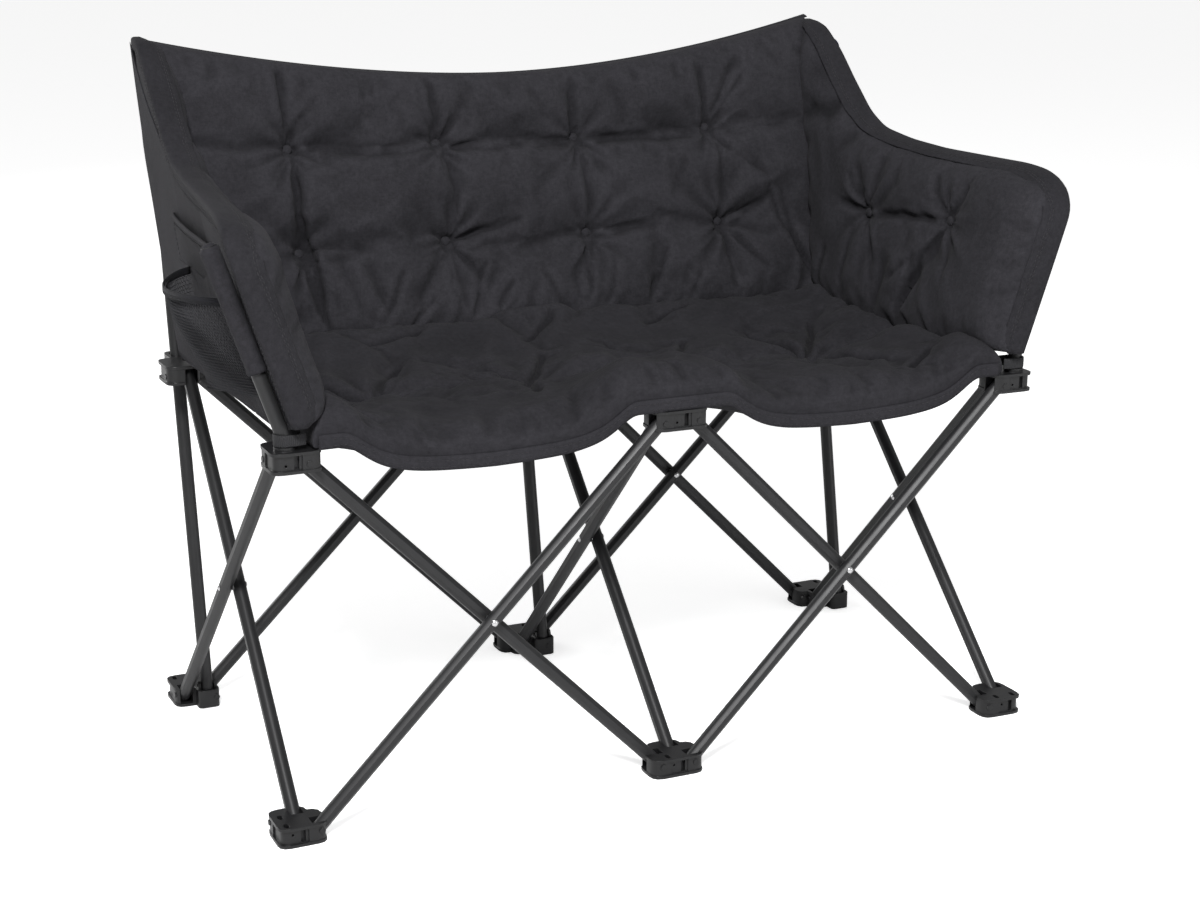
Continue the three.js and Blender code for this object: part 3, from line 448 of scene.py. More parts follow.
def slab(name, front, rear, material, uv=None):
    rows, cols = front.shape[:2]
    uv = grid_uv(front) if uv is None else uv
    return make_object(name, np.concatenate([front.reshape(-1, 3), rear.reshape(-1, 3)]),
                       closed_faces(rows, cols), material,
                       np.concatenate([uv.reshape(-1, 2)] * 2))


def normals_of(grid):
    du, dv = np.gradient(grid, axis=1), np.gradient(grid, axis=0)
    return unit(np.cross(du, dv))


def shell(name, grid, thick, material, out):
    """Sheet of a thickness on one side of a grid of points; out points to that side."""
    n = normals_of(grid)
    if np.mean(np.sum(n * np.array(out), 2)) < 0:
        n = -n
    return slab(name, grid + n * thick, grid, material)


def sweep(name, path, section, material, ups=(0, 0, 1)):
    """Sections swept along a path. section is a ring of (across, up) or a list of such rings."""
    path = np.array(path, float)
    count = len(path)
    ahead = unit(np.gradient(path, axis=0))
    across = unit(np.cross(ahead, np.array(ups, float)))
    up = np.cross(across, ahead)
    section = np.array(section, float)
    rings = np.broadcast_to(section, (count, *section.shape[-2:]))
    pts = (path[:, None] + across[:, None] * rings[:, :, :1] + up[:, None] * rings[:, :, 1:])
    cols = pts.shape[1]
    faces = grid_faces(count, cols, wrap=True)
    faces += end_faces(count, cols)
    girth = np.arange(cols) * 2.0
    uv = np.stack(np.broadcast_arrays(run(path)[:, None], girth[None]), 2)
    return make_object(name, pts.reshape(-1, 3), faces, material, uv)


def ring(rx, ry, n=12, power=2.0):
    a = np.arange(n) * 2 * math.pi / n
    c, s = np.cos(a), np.sin(a)
    return np.stack([rx * np.sign(c) * np.abs(c) ** (2 / power),
                     ry * np.sign(s) * np.abs(s) ** (2 / power)], 1)


def even(points, step):
    """The same line with points a step apart."""
    p = np.array(points, float)
    s = run(p)
    n = max(2, int(round(s[-1] / step)) + 1)
    t = np.linspace(0, s[-1], n)
    return np.stack([np.interp(t, s, p[:, k]) for k in range(3)], 1)


def relaxed(points, passes=2):
    p = np.array(points, float)
    for _ in range(passes):
        p[1:-1] = (p[:-2] + 2 * p[1:-1] + p[2:]) / 4
    return p


def stitches(name, lines, outs, length=4.4, gap=2.4, r=0.55):
    """Rows of sewn stitches on lines, each a small rounded bar lying on the cloth."""
    pts, faces, uvs = [], [], []
    for line, out in zip(lines, outs):
        outp = np.broadcast_to(np.array(out, float), (len(line), 3))
        s = run(line)
        at = gap
        while at + length < s[-1]:
            ends = []
            for k, size in ((0, 0.45), (0.3, 1), (0.7, 1), (1, 0.45)):
                d = at + k * length
                c = np.array([np.interp(d, s, line[:, q]) for q in range(3)])
                n = np.array([np.interp(d, s, outp[:, q]) for q in range(3)])
                ends.append((c, n / np.linalg.norm(n), size))
            ahead = ends[-1][0] - ends[0][0]
            ahead /= max(np.linalg.norm(ahead), 1e-9)
            base = len(pts)
            for c, n, size in ends:
                side = np.cross(ahead, n)
                for a in range(5):
                    w = a * 2 * math.pi / 5
                    pts.append(c + side * math.cos(w) * r * size
                               + n * (math.sin(w) * r * 0.8 * size + r * 0.25 * size))
                    uvs.append((at, a))
            faces += grid_faces(4, 5, base, wrap=True) + end_faces(4, 5, base)
            at += length + gap
    return make_object(name, pts, faces, thread, uvs)


def read(items, key, width=3, kind=float):
    values = np.zeros(len(items) * width, kind)
    items.foreach_get(key, values)
    return values.reshape(-1, width)


def coordinates(me):
    co = read(me.vertices, "co") * 1000
    co[:, 1] += MIDDLE_Y
    return co


def set_coordinates(ob, co):
    ob.data.vertices.foreach_set("co", in_metres(co).ravel())
    ob.data.update()


STIFFNESS, PRESSURE, FRAMES = 8.0, 4.0, 20


def puff(ob, hold, shrink, cap):
    """Cloth simulation of a padded piece, its result applied. hold is 1 where sewn down."""
    rest = coordinates(ob.data)
    group = ob.vertex_groups.new(name="sewn")
    level = np.round(np.clip(hold, 0, 1) * 20) / 20
    for value in np.unique(level):
        if value > 0:
            group.add([int(i) for i in np.flatnonzero(level == value)], float(value), "REPLACE")
    cloth = ob.modifiers.new("cloth", "CLOTH")
    s = cloth.settings
    s.quality = 5
    s.mass = 0.3
    s.tension_stiffness = s.compression_stiffness = STIFFNESS
    s.shear_stiffness = STIFFNESS / 2
    s.bending_stiffness = 0.25
    s.air_damping = 2.0
    s.use_pressure = True
    s.uniform_pressure_force = PRESSURE
    s.shrink_min = shrink
    s.vertex_group_mass = "sewn"
    s.effector_weights.gravity = 0
    cloth.collision_settings.use_collision = False
    cloth.collision_settings.use_self_collision = False
    cloth.point_cache.frame_start, cloth.point_cache.frame_end = 1, FRAMES
    scene = bpy.context.scene
    for f in range(1, FRAMES + 1):
        scene.frame_set(f)
    done = ob.evaluated_get(bpy.context.evaluated_depsgraph_get())
    move = coordinates(done.data) - rest
    far = np.linalg.norm(move, axis=1, keepdims=True)
    move *= np.minimum(1, cap / np.maximum(far, 1e-6))
    ob.modifiers.remove(cloth)
    ob.vertex_groups.clear()
    scene.frame_set(1)
    set_coordinates(ob, rest + move)


def detailed(ob, relief, out):
    """Makes a padded piece's surface finer and works sharp creases into the side that faces out."""
    finer = ob.modifiers.new("finer", "SUBSURF")
    finer.levels = finer.render_levels = 1
    bpy.context.view_layer.update()
    deps = bpy.context.evaluated_depsgraph_get()
    me = bpy.data.meshes.new_from_object(ob.evaluated_get(deps), depsgraph=deps)
    ob.modifiers.clear()
    ob.data = me
    co = coordinates(me)
    normal = read(me.vertex_normals, "vector")
    facing = smooth((normal @ np.array(out, float) - 0.15) / 0.35)
    set_coordinates(ob, co - normal * (relief(co) * facing)[:, None])
    mark_painted_crease_shade(me, facing)


def mark_painted_crease_shade(me, facing, rounds=18, deep=2.6):
    """Stores how far each point lies below (1) or above (-0.3) the smoothed surface round it, for
    painted shade.
    """
    co = coordinates(me)
    edges = read(me.edges, "vertices", 2, int)
    a, b = edges.T
    count = np.bincount(edges.ravel(), minlength=len(co))
    flat = co.copy()
    for _ in range(rounds):
        near = [np.bincount(a, flat[b, k], len(co)) + np.bincount(b, flat[a, k], len(co))
                for k in range(3)]
        flat = 0.4 * flat + 0.6 * np.stack(near, 1) / count[:, None]
    below = np.sum((flat - co) * read(me.vertex_normals, "vector"), 1) / deep * facing
    # Painted shade and highlight: fabric() darkens the cloth's colour where this is above 0 and
    # lightens it a little where it is below.
    mark = me.attributes.new("fold", "FLOAT", "POINT")
    mark.data.foreach_set("value", np.clip(below, -0.3, 1).astype(np.float32))


def thickness(full, pull, edge, middle, least):
    """A pad's thickness: full is 0 at its edge and 1 inside, pull is how far it is drawn in."""
    return np.maximum(lerp(edge, middle, full) - pull * full, least)


def outline_hold(u, v, wide, high):
    """1 on the outline of a pad of a size, falling to 0 a little inside it."""
    return 1 - smooth(np.minimum(inset(u) * wide, inset(v) * high) / 12)


def padded_out(pad, edge, x, y, tufts, creases, most, full, shrink=-0.03, cap=8.0):
    """Puffs a pad, held at its edge, its buttons and the creases. full is a whole hold's depth."""
    sewn = np.maximum(edge, dips(x, y, tufts, 9, 9))
    for a, b, _, depth in creases:
        sewn = np.maximum(sewn, min(most, depth / full) * crease(x, y, a, b, 5))
    puff(pad, np.concatenate([sewn.ravel(), np.ones(sewn.size)]), shrink, cap)
    return pad


def cusp(x, y, a, b, depth, wide, step, ends=0.2):
    """Sharp valley from a to b with a soft lip on both sides, or a fold that laps over."""
    t, off, length = from_line(x, y, a, b)
    off = off + 2.6 * np.sin(t * length / 26 + a[0]) + 1.1 * np.sin(t * length / 9 + b[1])
    valley = np.exp(-np.abs(off) / wide) - 0.35 * bell(np.abs(off) - 2.6 * wide, 1.4 * wide)
    lap = np.tanh(off / 2.2) * np.exp(-np.abs(off) / 22)
    return (depth * valley + step * lap) * faded(t, ends)


def ruled(x, y, lines, gain):
    """Sharp lines, each given by its ends, depth, width and step of a lapping fold."""
    depth = np.zeros_like(x)
    for (x0, y0, x1, y1), deep, wide, step in lines:
        depth = depth + gain * cusp(x, y, (x0, y0), (x1, y1), deep, wide, step)
    return depth


def rings(x, y, spots):
    """Narrow groove round each button."""
    total = np.zeros_like(x)
    for r, _ in around(x, y, spots):
        total = total + bell(r - 9.5, 3.2)
    return total


def puckers(x, y, spots, seed, near=7.0, far=46.0):
    """Short sharp wrinkles that radiate from the buttons."""
    total = np.zeros_like(x)
    g = np.random.default_rng(seed)
    for r, a in around(x, y, spots):
        n, p, q = int(g.integers(9, 13)), g.uniform(0, 6.3), g.uniform(0, 6.3)
        wave = 1 - 2 * np.abs(np.sin((n * a + p + 1.6 * np.sin(a + q)) / 2))
        reach = far * (1 + 0.5 * np.sin(3 * a + q))
        total = total + wave * smooth((r - near) / 10) * np.exp(-(r / reach) ** 2)
    return total


def crumple(x, y, size, seed):
    """Small sharp wrinkles of stiff cloth, stronger in some places than in others."""
    wx = x + 0.5 * size * noise(x / size / 1.7, y / size / 1.7, seed + 5)
    wy = y + 0.5 * size * noise(y / size / 1.7, x / size / 1.7, seed + 6)
    ridges = (0.6 * folds(wx, wy, size, seed, 0.5, 2.4)
              + 0.4 * folds(wx, wy, 0.6 * size, seed + 1, 2.2, 2.2))
    mask = smooth(0.5 + 1.1 * noise(x / size / 4, y / size / 4, seed + 2))
    return np.maximum(ridges, -0.2) * mask


def tree_of(ob):
    """Search tree of a piece's finished surface, in the scene's millimetres."""
    bpy.context.view_layer.update()
    me = ob.evaluated_get(bpy.context.evaluated_depsgraph_get()).data
    return BVHTree.FromPolygons([Vector(c) for c in coordinates(me)],
                                [tuple(p.vertices) for p in me.polygons])


def laid(tree, points, out, lift=0.4, reach=60.0):
    """Points moved along out until they lie on a surface."""
    out = np.array(out, float)
    outs = np.broadcast_to(out, (len(points), 3))
    found = []
    for p, o in zip(points, outs):
        o = o / np.linalg.norm(o)
        hit = tree.ray_cast(Vector(p + o * reach), Vector(-o), 2 * reach)[0]
        found.append(np.array(hit) + o * lift if hit else p)
    return np.array(found)


def button(name, tree, at, out, r=7.3):
    """Cloth-covered button drawn into the padding."""
    o = np.array(out, float)
    o /= np.linalg.norm(o)
    spot = laid(tree, np.array([at], float), o, 1.6)[0]
    side = np.cross(o, [0, 0, 1.0] if abs(o[2]) < 0.9 else [1.0, 0, 0])
    side /= np.linalg.norm(side)
    up = np.cross(side, o)
    profile = [(0.0, 3.9), (0.35, 3.7), (0.65, 3.0), (0.86, 1.9), (0.98, 0.6), (1.0, -0.6),
               (0.9, -1.8), (0.55, -2.6), (0.0, -2.8)]
    n = 20
    pts, uv = [], []
    for q, (share, h) in enumerate(profile):
        for k in range(n):
            a = k * 2 * math.pi / n
            w = share * r * (1 + 0.02 * math.sin(5 * a + q))
            pts.append(spot + side * w * math.cos(a) + up * w * math.sin(a) + o * h)
            uv.append((w * math.cos(a), w * math.sin(a)))
    ob = make_object(name, pts, grid_faces(len(profile), n, wrap=True), canvas, uv)
    edit(ob.data, lambda bm: bmesh.ops.remove_doubles(bm, verts=bm.verts, dist=1e-6))
    return ob


# Forms that the padding shares with the solids of the frame
def hub_lift(x, y):
    d = np.minimum.reduce([np.hypot(x - s * HUB_X, np.abs(y) - HUB_D / 2) for s in (-1, 0, 1)])
    return 1 / (1 + (np.maximum(0, d - 68.3) / 42) ** 2)


def seat_low(x, y, share):
    side = clip((share - 0.68) / 0.32)
    back = clip((y - 40) / (SEAT_REAR - 40))
    rise = np.hypot(38 * side ** 2, 46 * back ** 2)
    return np.maximum(lerp(SEAT_UNDER, HUB_TOP + 1.3, hub_lift(x, y)), SEAT_UNDER + rise)


def back_y(z):
    return BACK_FOOT_Y + (z - BACK_FOOT_Z) * math.tan(LEAN)


def back_top(x):
    return 900 + (70 + np.sign(x) * 4) * np.abs(x / BACK_HALF) ** 1.85


def arm_x(side, y, z):
    t = (236 - y) / 536
    low, high = lerp(530, 520.6, t), lerp(562 + side * 4, 600, t)
    top = lerp(970, 770, clip(t))
    wrap = smooth((-262 - y) / 38)
    return lerp(low, high, (z - 535) / (top - 535)) + 2 * wrap


def arm_face(side, y, z):
    """The arm pad's outer face, half an edge outside the middle of the arm."""
    return arm_x(side, y, z) + ARM_EDGE / 2


def arm_uv(y, z):
    """Share along an arm from rear to front, and from its lower to its upper edge."""
    rear = back_y(z) - ARM_OVERLAP
    u = clip((y - rear) / (ARM_FRONT - rear))
    low, high = arm_edges(u)
    return u, clip((z - low) / (high - low))


def arm_edges(u):
    """Heights of an arm's lower and upper edge at a share from rear to front."""
    return (table(ARM_LOW, lerp(236, ARM_FRONT, u)), table(ARM_TOP, lerp(362, ARM_FRONT, u)))


def arm_place(u, v):
    z = lerp(*arm_edges(u), v)
    return lerp(back_y(z) - ARM_OVERLAP, ARM_FRONT, u), z


# Back
def back_relief(x, z):
    """How far the padding is drawn in at a place on the back."""
    wavy = z + 5 * noise(x / 70, z / 300, 21)
    pull = 9 * np.maximum(bell(wavy - 800, 28), 0.75 * bell(wavy - 657, 26))
    pull = pull + 25 * dips(x, z, BACK_TUFTS, 34, 12)
    pull = creased(pull, x, z, BACK_CREASES)
    pull = pull - 4.0 * star(x, z, BACK_TUFTS, 20, 92, 3)
    low = smooth((640 - z) / 90)
    pull = pull - low * 5.0 * folds(x, z, 34, 31, 1.2, 3.0)
    return pull - 3.6 * folds(x, z, 50, 33, 0.35, 3.0) - 6.0 * cloudy(x, z, 130, 35)


BACK_CREASES = [
    ((-345, 801), (-115, 798), 5.5, 10), ((-115, 798), (115, 798), 5.5, 10),
    ((115, 798), (345, 803), 5.5, 13), ((345, 803), (520, 815), 7, 6),
    ((-520, 812), (-345, 801), 8, 3), ((-345, 655), (-240, 650), 6, 7),
    ((-190, 676), (-115, 659), 6, 6), ((-20, 640), (115, 656), 6, 8),
    ((-110, 660), (0, 690), 6, 6), ((115, 656), (230, 668), 6, 6), ((345, 659), (440, 690), 6, 8),
    ((-352, 790), (-332, 550), 5, 13), ((-345, 801), (-352, 925), 7, 9),
    ((-345, 801), (-300, 870), 7, 6), ((-115, 798), (-122, 905), 7, 8),
    ((-115, 798), (-96, 700), 6, 5), ((115, 798), (108, 890), 8, 7),
    ((115, 798), (122, 662), 6, 5), ((345, 803), (402, 905), 7, 11),
    ((345, 803), (330, 900), 7, 6), ((345, 803), (352, 664), 6, 7), ((345, 803), (440, 720), 7, 5),
    ((-115, 659), (-190, 560), 7, 7), ((-115, 659), (-108, 545), 7, 5),
    ((-40, 620), (-90, 545), 7, 8), ((115, 656), (100, 560), 7, 6), ((230, 640), (205, 555), 8, 6),
    ((345, 659), (360, 560), 7, 6), ((440, 720), (498, 560), 8, 9),
    ((-400, 600), (-430, 540), 8, 5), ((-255, 640), (-225, 560), 8, 6),
    ((20, 700), (70, 760), 8, 3), ((250, 690), (300, 760), 9, 3),
]


def back_fine(co):
    x, z = co[:, 0], co[:, 2]
    depth = ruled(x, z, BACK_LINES, 1.5)
    depth = depth - 2.4 * puckers(x, z, BACK_TUFTS, 201) + 2.0 * rings(x, z, BACK_TUFTS)
    low = smooth((640 - z) / 80)
    depth = depth - low * 3.6 * crumple(x, z, 34, 205)
    top = bell(z - back_top(x) + 22, 16)
    depth = depth - 0.9 * top * np.sin(x / 5.2 + 4 * noise(x / 40, 0 * x, 207))
    return depth - 2.2 * crumple(x, z, 56, 211)


BACK_LINES = [
    ((-345, 801, -300, 806), 3.0, 4, 0), ((-300, 803, -120, 800), 2.6, 4, 1.0),
    ((-112, 798, 40, 806), 3.0, 4, 1.0), ((30, 800, 112, 796), 2.4, 4, 0),
    ((118, 798, 335, 806), 3.4, 4, 1.6), ((352, 802, 500, 822), 2.0, 5, 0),
    ((-344, 792, -338, 700), 2.6, 4, 3.0), ((-341, 735, -318, 540), 3.0, 4, 5.0),
    ((-345, 806, -360, 930), 2.4, 4, 1.5), ((-345, 806, -318, 865), 2.2, 4, 0),
    ((-350, 655, -262, 660), 2.4, 4, 1.0), ((-300, 668, -262, 560), 2.0, 7, 0),
    ((-118, 802, -124, 880), 2.2, 4, 0), ((-112, 802, -86, 850), 2.0, 4, 0),
    ((-100, 740, -106, 672), 1.8, 3, 1.2), ((-112, 662, 10, 700), 2.6, 4, 1.2),
    ((-108, 654, 20, 662), 2.2, 4, 0), ((-112, 652, -60, 600), 2.0, 4, 0),
    ((-190, 640, -250, 548), 2.8, 4, 2.0), ((-150, 600, -205, 540), 2.6, 3.5, 1.6),
    ((-122, 640, -116, 560), 1.8, 3.5, 0), ((-60, 640, -95, 548), 2.8, 4, 2.4),
    ((-20, 610, -60, 560), 2.4, 3.5, 1.6), ((20, 620, 60, 552), 2.2, 4, 1.2),
    ((116, 802, 104, 880), 2.2, 4, 0), ((118, 660, 240, 672), 2.4, 4, 1.0),
    ((112, 650, 90, 560), 2.4, 4, 0), ((150, 640, 120, 548), 2.0, 4, 1.2),
    ((240, 650, 200, 548), 2.6, 4, 2.0), ((290, 610, 262, 548), 2.2, 4, 1.4),
    ((345, 806, 406, 900), 3.2, 5, 1.8), ((345, 808, 336, 910), 2.4, 4, 0),
    ((350, 800, 440, 726), 2.4, 5, 0), ((348, 662, 352, 560), 2.2, 4, 1.2),
    ((350, 660, 436, 700), 2.4, 4, 1.2), ((352, 652, 420, 590), 2.4, 4, 1.4),
    ((430, 730, 496, 575), 3.2, 5, 2.4), ((470, 640, 505, 548), 2.8, 4, 1.6),
    ((-420, 620, -452, 548), 2.4, 4, 1.4), ((-470, 700, -440, 620), 2.0, 5, 0),
]


def make_back():
    u, v = unit_grid(*BACK_MESH)
    s = 2 * u - 1
    z = lerp(521, back_top(s * BACK_HALF), v)
    x = s * arm_face(np.where(s < 0, -1.0, 1.0), back_y(z), z)
    full = nose(inset(u), 0.055) * nose(inset(v), 0.115)
    thick = thickness(full, back_relief(x, z), *BACK_THICK)
    sag = 1.4 * cloudy(x, z, 120, 51) * full
    rear = np.stack([x, back_y(z) + np.minimum(sag, 0), z], 2)
    front = np.stack([x, back_y(z), z], 2) + thick[..., None] * BACK_NORMAL
    pad = slab("back_padding", front, rear, canvas, np.stack([x, z], 2))
    edge = outline_hold(u, v, *BACK_SIZE)
    return padded_out(pad, edge, x, z, BACK_TUFTS, BACK_CREASES, 0.85, 13, -0.028, 9.0)


# Seat halves
def seat_relief(x, y):
    pull = 16 * dips(x, y, SEAT_TUFTS, 42, 14)
    pull = pull + 9 * bell(y - SEAT_SPLIT + 3 * noise(x / 60, 0 * x, 41), 16)
    pull = creased(pull, x, y, SEAT_CREASES)
    pull = pull - 4.6 * star(x, y, SEAT_TUFTS, 26, 125, 5)
    return pull - 4.4 * folds(x, y, 58, 43, 1.25, 3.0) - 5.0 * cloudy(x, y, 130, 45)


SEAT_CREASES = [
    ((-340, -36), (-450, 30), 8, 8), ((-340, -36), (-440, -150), 9, 8),
    ((-340, -36), (-260, 90), 9, 7), ((-340, -36), (-250, -140), 10, 6),
    ((-117, -36), (-190, 90), 8, 9), ((-117, -36), (-40, 80), 8, 6),
    ((-117, -36), (-150, -160), 9, 6), ((-117, -36), (-20, -120), 9, 6),
    ((117, -36), (60, 100), 8, 8), ((117, -36), (190, 70), 8, 6), ((117, -36), (80, -150), 9, 6),
    ((117, -36), (200, -150), 9, 7), ((340, -36), (300, 100), 8, 8),
    ((340, -36), (420, 100), 8, 8), ((340, -36), (290, -150), 9, 9),
    ((340, -36), (390, -200), 9, 9), ((340, -36), (450, -60), 9, 7),
    ((-300, 150), (-180, 190), 9, 5), ((150, 150), (260, 190), 9, 5),
    ((-60, 120), (30, 190), 9, 5), ((-470, -200), (-400, -255), 9, 6),
    ((380, -240), (455, -190), 9, 6),
]


def seat_fine(co):
    x, y = co[:, 0], co[:, 1]
    depth = np.zeros_like(x)
    for k, (a, b, _, deep) in enumerate(SEAT_CREASES):
        depth = depth + cusp(x, y, a, b, 0.85 * deep, 3.6, 2.2 * (k % 3 - 1))
    depth = depth - 2.2 * puckers(x, y, SEAT_TUFTS, 221, 7.0, 66.0) + 2.0 * rings(x, y, SEAT_TUFTS)
    rim = smooth((-236 - y) / 40)
    depth = depth - rim * 0.9 * np.sin(x / 7 + 5 * noise(x / 60, 0 * x, 223))
    return depth - 4.2 * crumple(x, y, 52, 225)


def make_seat(name, y0, y1, front_half):
    u, v = unit_grid(*SEAT_MESH)
    v = v ** 1.35 if front_half else v
    s = 2 * u - 1
    y = lerp(y0, y1, v)
    x = s * (SEAT_HALF + 4 * (1 - hub_lift(SEAT_HALF, y)))
    low = seat_low(x, y, np.abs(s))
    along = (y - SEAT_FRONT) / (SEAT_REAR - SEAT_FRONT)
    full = nose(inset(u), 0.04) * nose(along, 0.085, 2.6) * nose(1 - along, 0.10)
    thick = thickness(full, seat_relief(x, y), *SEAT_THICK)
    front = np.stack([x, y, low + thick], 2)
    rear = np.stack([x, y, low], 2)
    # The seat gets the darker canvas: painted shade against the key lamp above it.
    pad = slab(name, front, rear, canvas_painted_shade, np.stack([x, y], 2))
    edge = 1 - smooth(np.minimum(inset(u) * SEAT_WIDE, np.abs(y - SEAT_SPLIT)) / 10)
    rim = np.abs(y - (SEAT_FRONT if front_half else SEAT_REAR))
    edge = np.maximum(edge, 1 - smooth(rim / 14))
    return padded_out(pad, edge, x, y, SEAT_TUFTS, SEAT_CREASES, 0.8, 11)


# Arms
def arm_relief(y, z):
    pull = 13 * dips(y, z, ARM_TUFTS, 34, 12)
    pull = creased(pull, y, z, ARM_CREASES)
    pull = pull - 3.4 * star(y, z, ARM_TUFTS, 20, 84, 8)
    return pull - 2.8 * folds(y, z, 44, 61, 1.0, 3.0) - 4.5 * cloudy(y, z, 120, 63)


ARM_CREASES = [
    ((79, 697), (-116, 711), 6, 7), ((79, 697), (140, 706), 8, 4), ((79, 697), (118, 770), 8, 4),
    ((79, 697), (50, 620), 9, 4), ((-116, 711), (-44, 570), 8, 6), ((-116, 711), (-76, 780), 8, 4),
    ((-116, 711), (-152, 770), 8, 4), ((-116, 711), (-150, 640), 9, 3),
    ((10, 640), (24, 560), 9, 4), ((-70, 640), (-40, 560), 7, 5),
]


def arm_fine(co):
    y, z = co[:, 1], co[:, 2]
    depth = ruled(y, z, ARM_LINES, 1.9)
    depth = depth - 2.4 * puckers(y, z, ARM_TUFTS, 231) + 2.0 * rings(y, z, ARM_TUFTS)
    return depth - 2.4 * crumple(y, z, 46, 235)


ARM_LINES = [
    ((70, 697, -108, 711), 2.4, 4, 1.0), ((84, 700, 130, 760), 2.4, 4, 0),
    ((74, 702, 40, 770), 1.8, 4, 0), ((84, 694, 150, 712), 2.0, 4, 0),
    ((-110, 716, -70, 780), 2.4, 4, 0), ((-120, 716, -150, 770), 2.4, 4, 0),
    ((-108, 706, -30, 560), 2.8, 4, 2.0), ((-112, 704, 0, 600), 2.2, 5, 0),
    ((-60, 660, -38, 545), 2.6, 3.5, 2.2), ((60, 690, 30, 590), 2.0, 5, 0),
    ((100, 680, 120, 570), 2.0, 5, 0), ((-124, 706, -150, 620), 1.8, 5, 0),
    ((170, 640, 190, 560), 2.0, 5, 1.4),
]


def arm_thick(y, z, detail):
    u, v = arm_uv(y, z)
    full = nose(inset(u), 0.10) * nose(inset(v), 0.20)
    pull = arm_relief(y, z) if detail else 0
    return thickness(full, pull, *ARM_THICK)


def make_arm(side, name):
    u, v = unit_grid(*ARM_MESH)
    u = 1 - (1 - u) ** 1.25
    y, z = arm_place(u, v)
    outer = side * arm_face(side, y, z)
    thick = arm_thick(y, z, True)
    inner = np.stack([outer - side * thick, y, z], 2)
    outer = np.stack([outer, y, z], 2)
    pad = slab(name, inner, outer, canvas, np.stack([y, z], 2))
    edge = outline_hold(u, v, *ARM_SIZE)
    return padded_out(pad, edge, y, z, ARM_TUFTS, ARM_CREASES, 0.8, 10)


def arm_outline():
    """Upper and front edge of an arm as places (y, z), and the directions into the arm."""
    u = np.linspace(0, 1, 200)
    y, z = arm_place(u, np.ones_like(u))
    v = np.linspace(1, 0, 60)[1:]
    yf, zf = arm_place(np.ones_like(v), v)
    line = np.stack([0 * np.r_[y, yf], np.r_[y, yf], np.r_[z, zf]], 1)
    line = relaxed(even(line, 9.0), 3)
    ahead = unit(np.gradient(line, axis=0))
    inward = np.stack([0 * ahead[:, 0], ahead[:, 2], -ahead[:, 1]], 1)
    return line, -inward if inward[len(inward) // 2, 2] > 0 else inward


def arm_side_point(side, p, face, off):
    """Point on the outer or inner face of a plain arm pad at a place (y, z), off by a distance."""
    y, z = p[..., 1], p[..., 2]
    x = arm_face(side, y, z)
    if face == "outer":
        x = x + off
    else:
        x = x - arm_thick(y, z, False) - off
    return np.stack([side * x, y, z], -1)


def hem_band(name, grid, columns, toward, thick, material, rows, ends, lift):
    """Band on a grid whose given columns face toward, with stitches along some of its rows."""
    out = normals_of(grid)
    if np.mean(np.sum(out[:, columns] * np.array(toward), 2)) < 0:
        out = -out
    band = slab(name, grid + out * thick, grid, material)
    lines = [(grid[:, k] + out[:, k] * lift)[ends:-ends] for k in rows]
    return band, stitches(name + "_stitches", lines, [out[ends:-ends, k] for k in rows])


def make_arm_band(side, name):
    """Hem band that wraps the upper and front edge of an arm."""
    line, inward = arm_outline()
    n = len(line)
    share = np.linspace(0, 1, n)[:, None]
    wide = lerp(13, 20, smooth(share / 0.6))
    deep = lerp(7, 9, smooth((share - 0.35) / 0.35))
    columns = []
    for d in (1.0, 0.66, 0.33, 0.08):
        off = 0.9 + 0.5 * math.sin(d * 3)
        columns.append(arm_side_point(side, line + inward * wide * d, "outer", off))
    outer, inner = (arm_side_point(side, line, face, 0) for face in ("outer", "inner"))
    for k in (0.15, 0.5, 0.85):
        columns.append(lerp(outer, inner, k) - inward * 1.1)
    for d in (0.03, 0.12, 0.25, 0.4, 0.55, 0.7, 0.85, 1.0):
        columns.append(arm_side_point(side, line + inward * deep * d, "inner", 1.6))
    grid = np.stack(columns, 1)
    wave = noise(np.arange(n)[:, None] / 5.0, np.arange(grid.shape[1])[None] / 3.0, 71 + int(side))
    grid[..., 0] += side * 0.5 * wave
    return hem_band(name, grid, slice(0, 3), (side, 0, 0), 1.3, canvas_painted_shade, (1, 2, -6, -5), 2, 1.4)


def make_arm_panel(side, name):
    """Outer skin of an arm, from the rear of the back to the arm's front edge."""
    u, v = np.meshgrid(np.linspace(0, 1, 90), np.linspace(0.01, 0.985, 44))
    y0, z = arm_place(u, v)
    rear = back_y(z) - 1
    y = lerp(rear, ARM_FRONT + 6, (y0 - rear) / (ARM_FRONT - rear))
    y = np.where(u < 0.3, lerp(rear, y, smooth(u / 0.3)), y)
    loose = smooth(inset(u) / 0.1) * smooth(inset(v) / 0.15)
    ripple = 2.4 * folds(y, z, 50, 81, 0.9, 3.0) + 2.2 * cloudy(y, z, 110, 83)
    x = arm_face(side, y, z) + 0.35 + np.maximum(ripple, -0.2) * loose
    return shell(name, np.stack([side * x, y, z], 2), 0.9, canvas, (side, 0, 0))


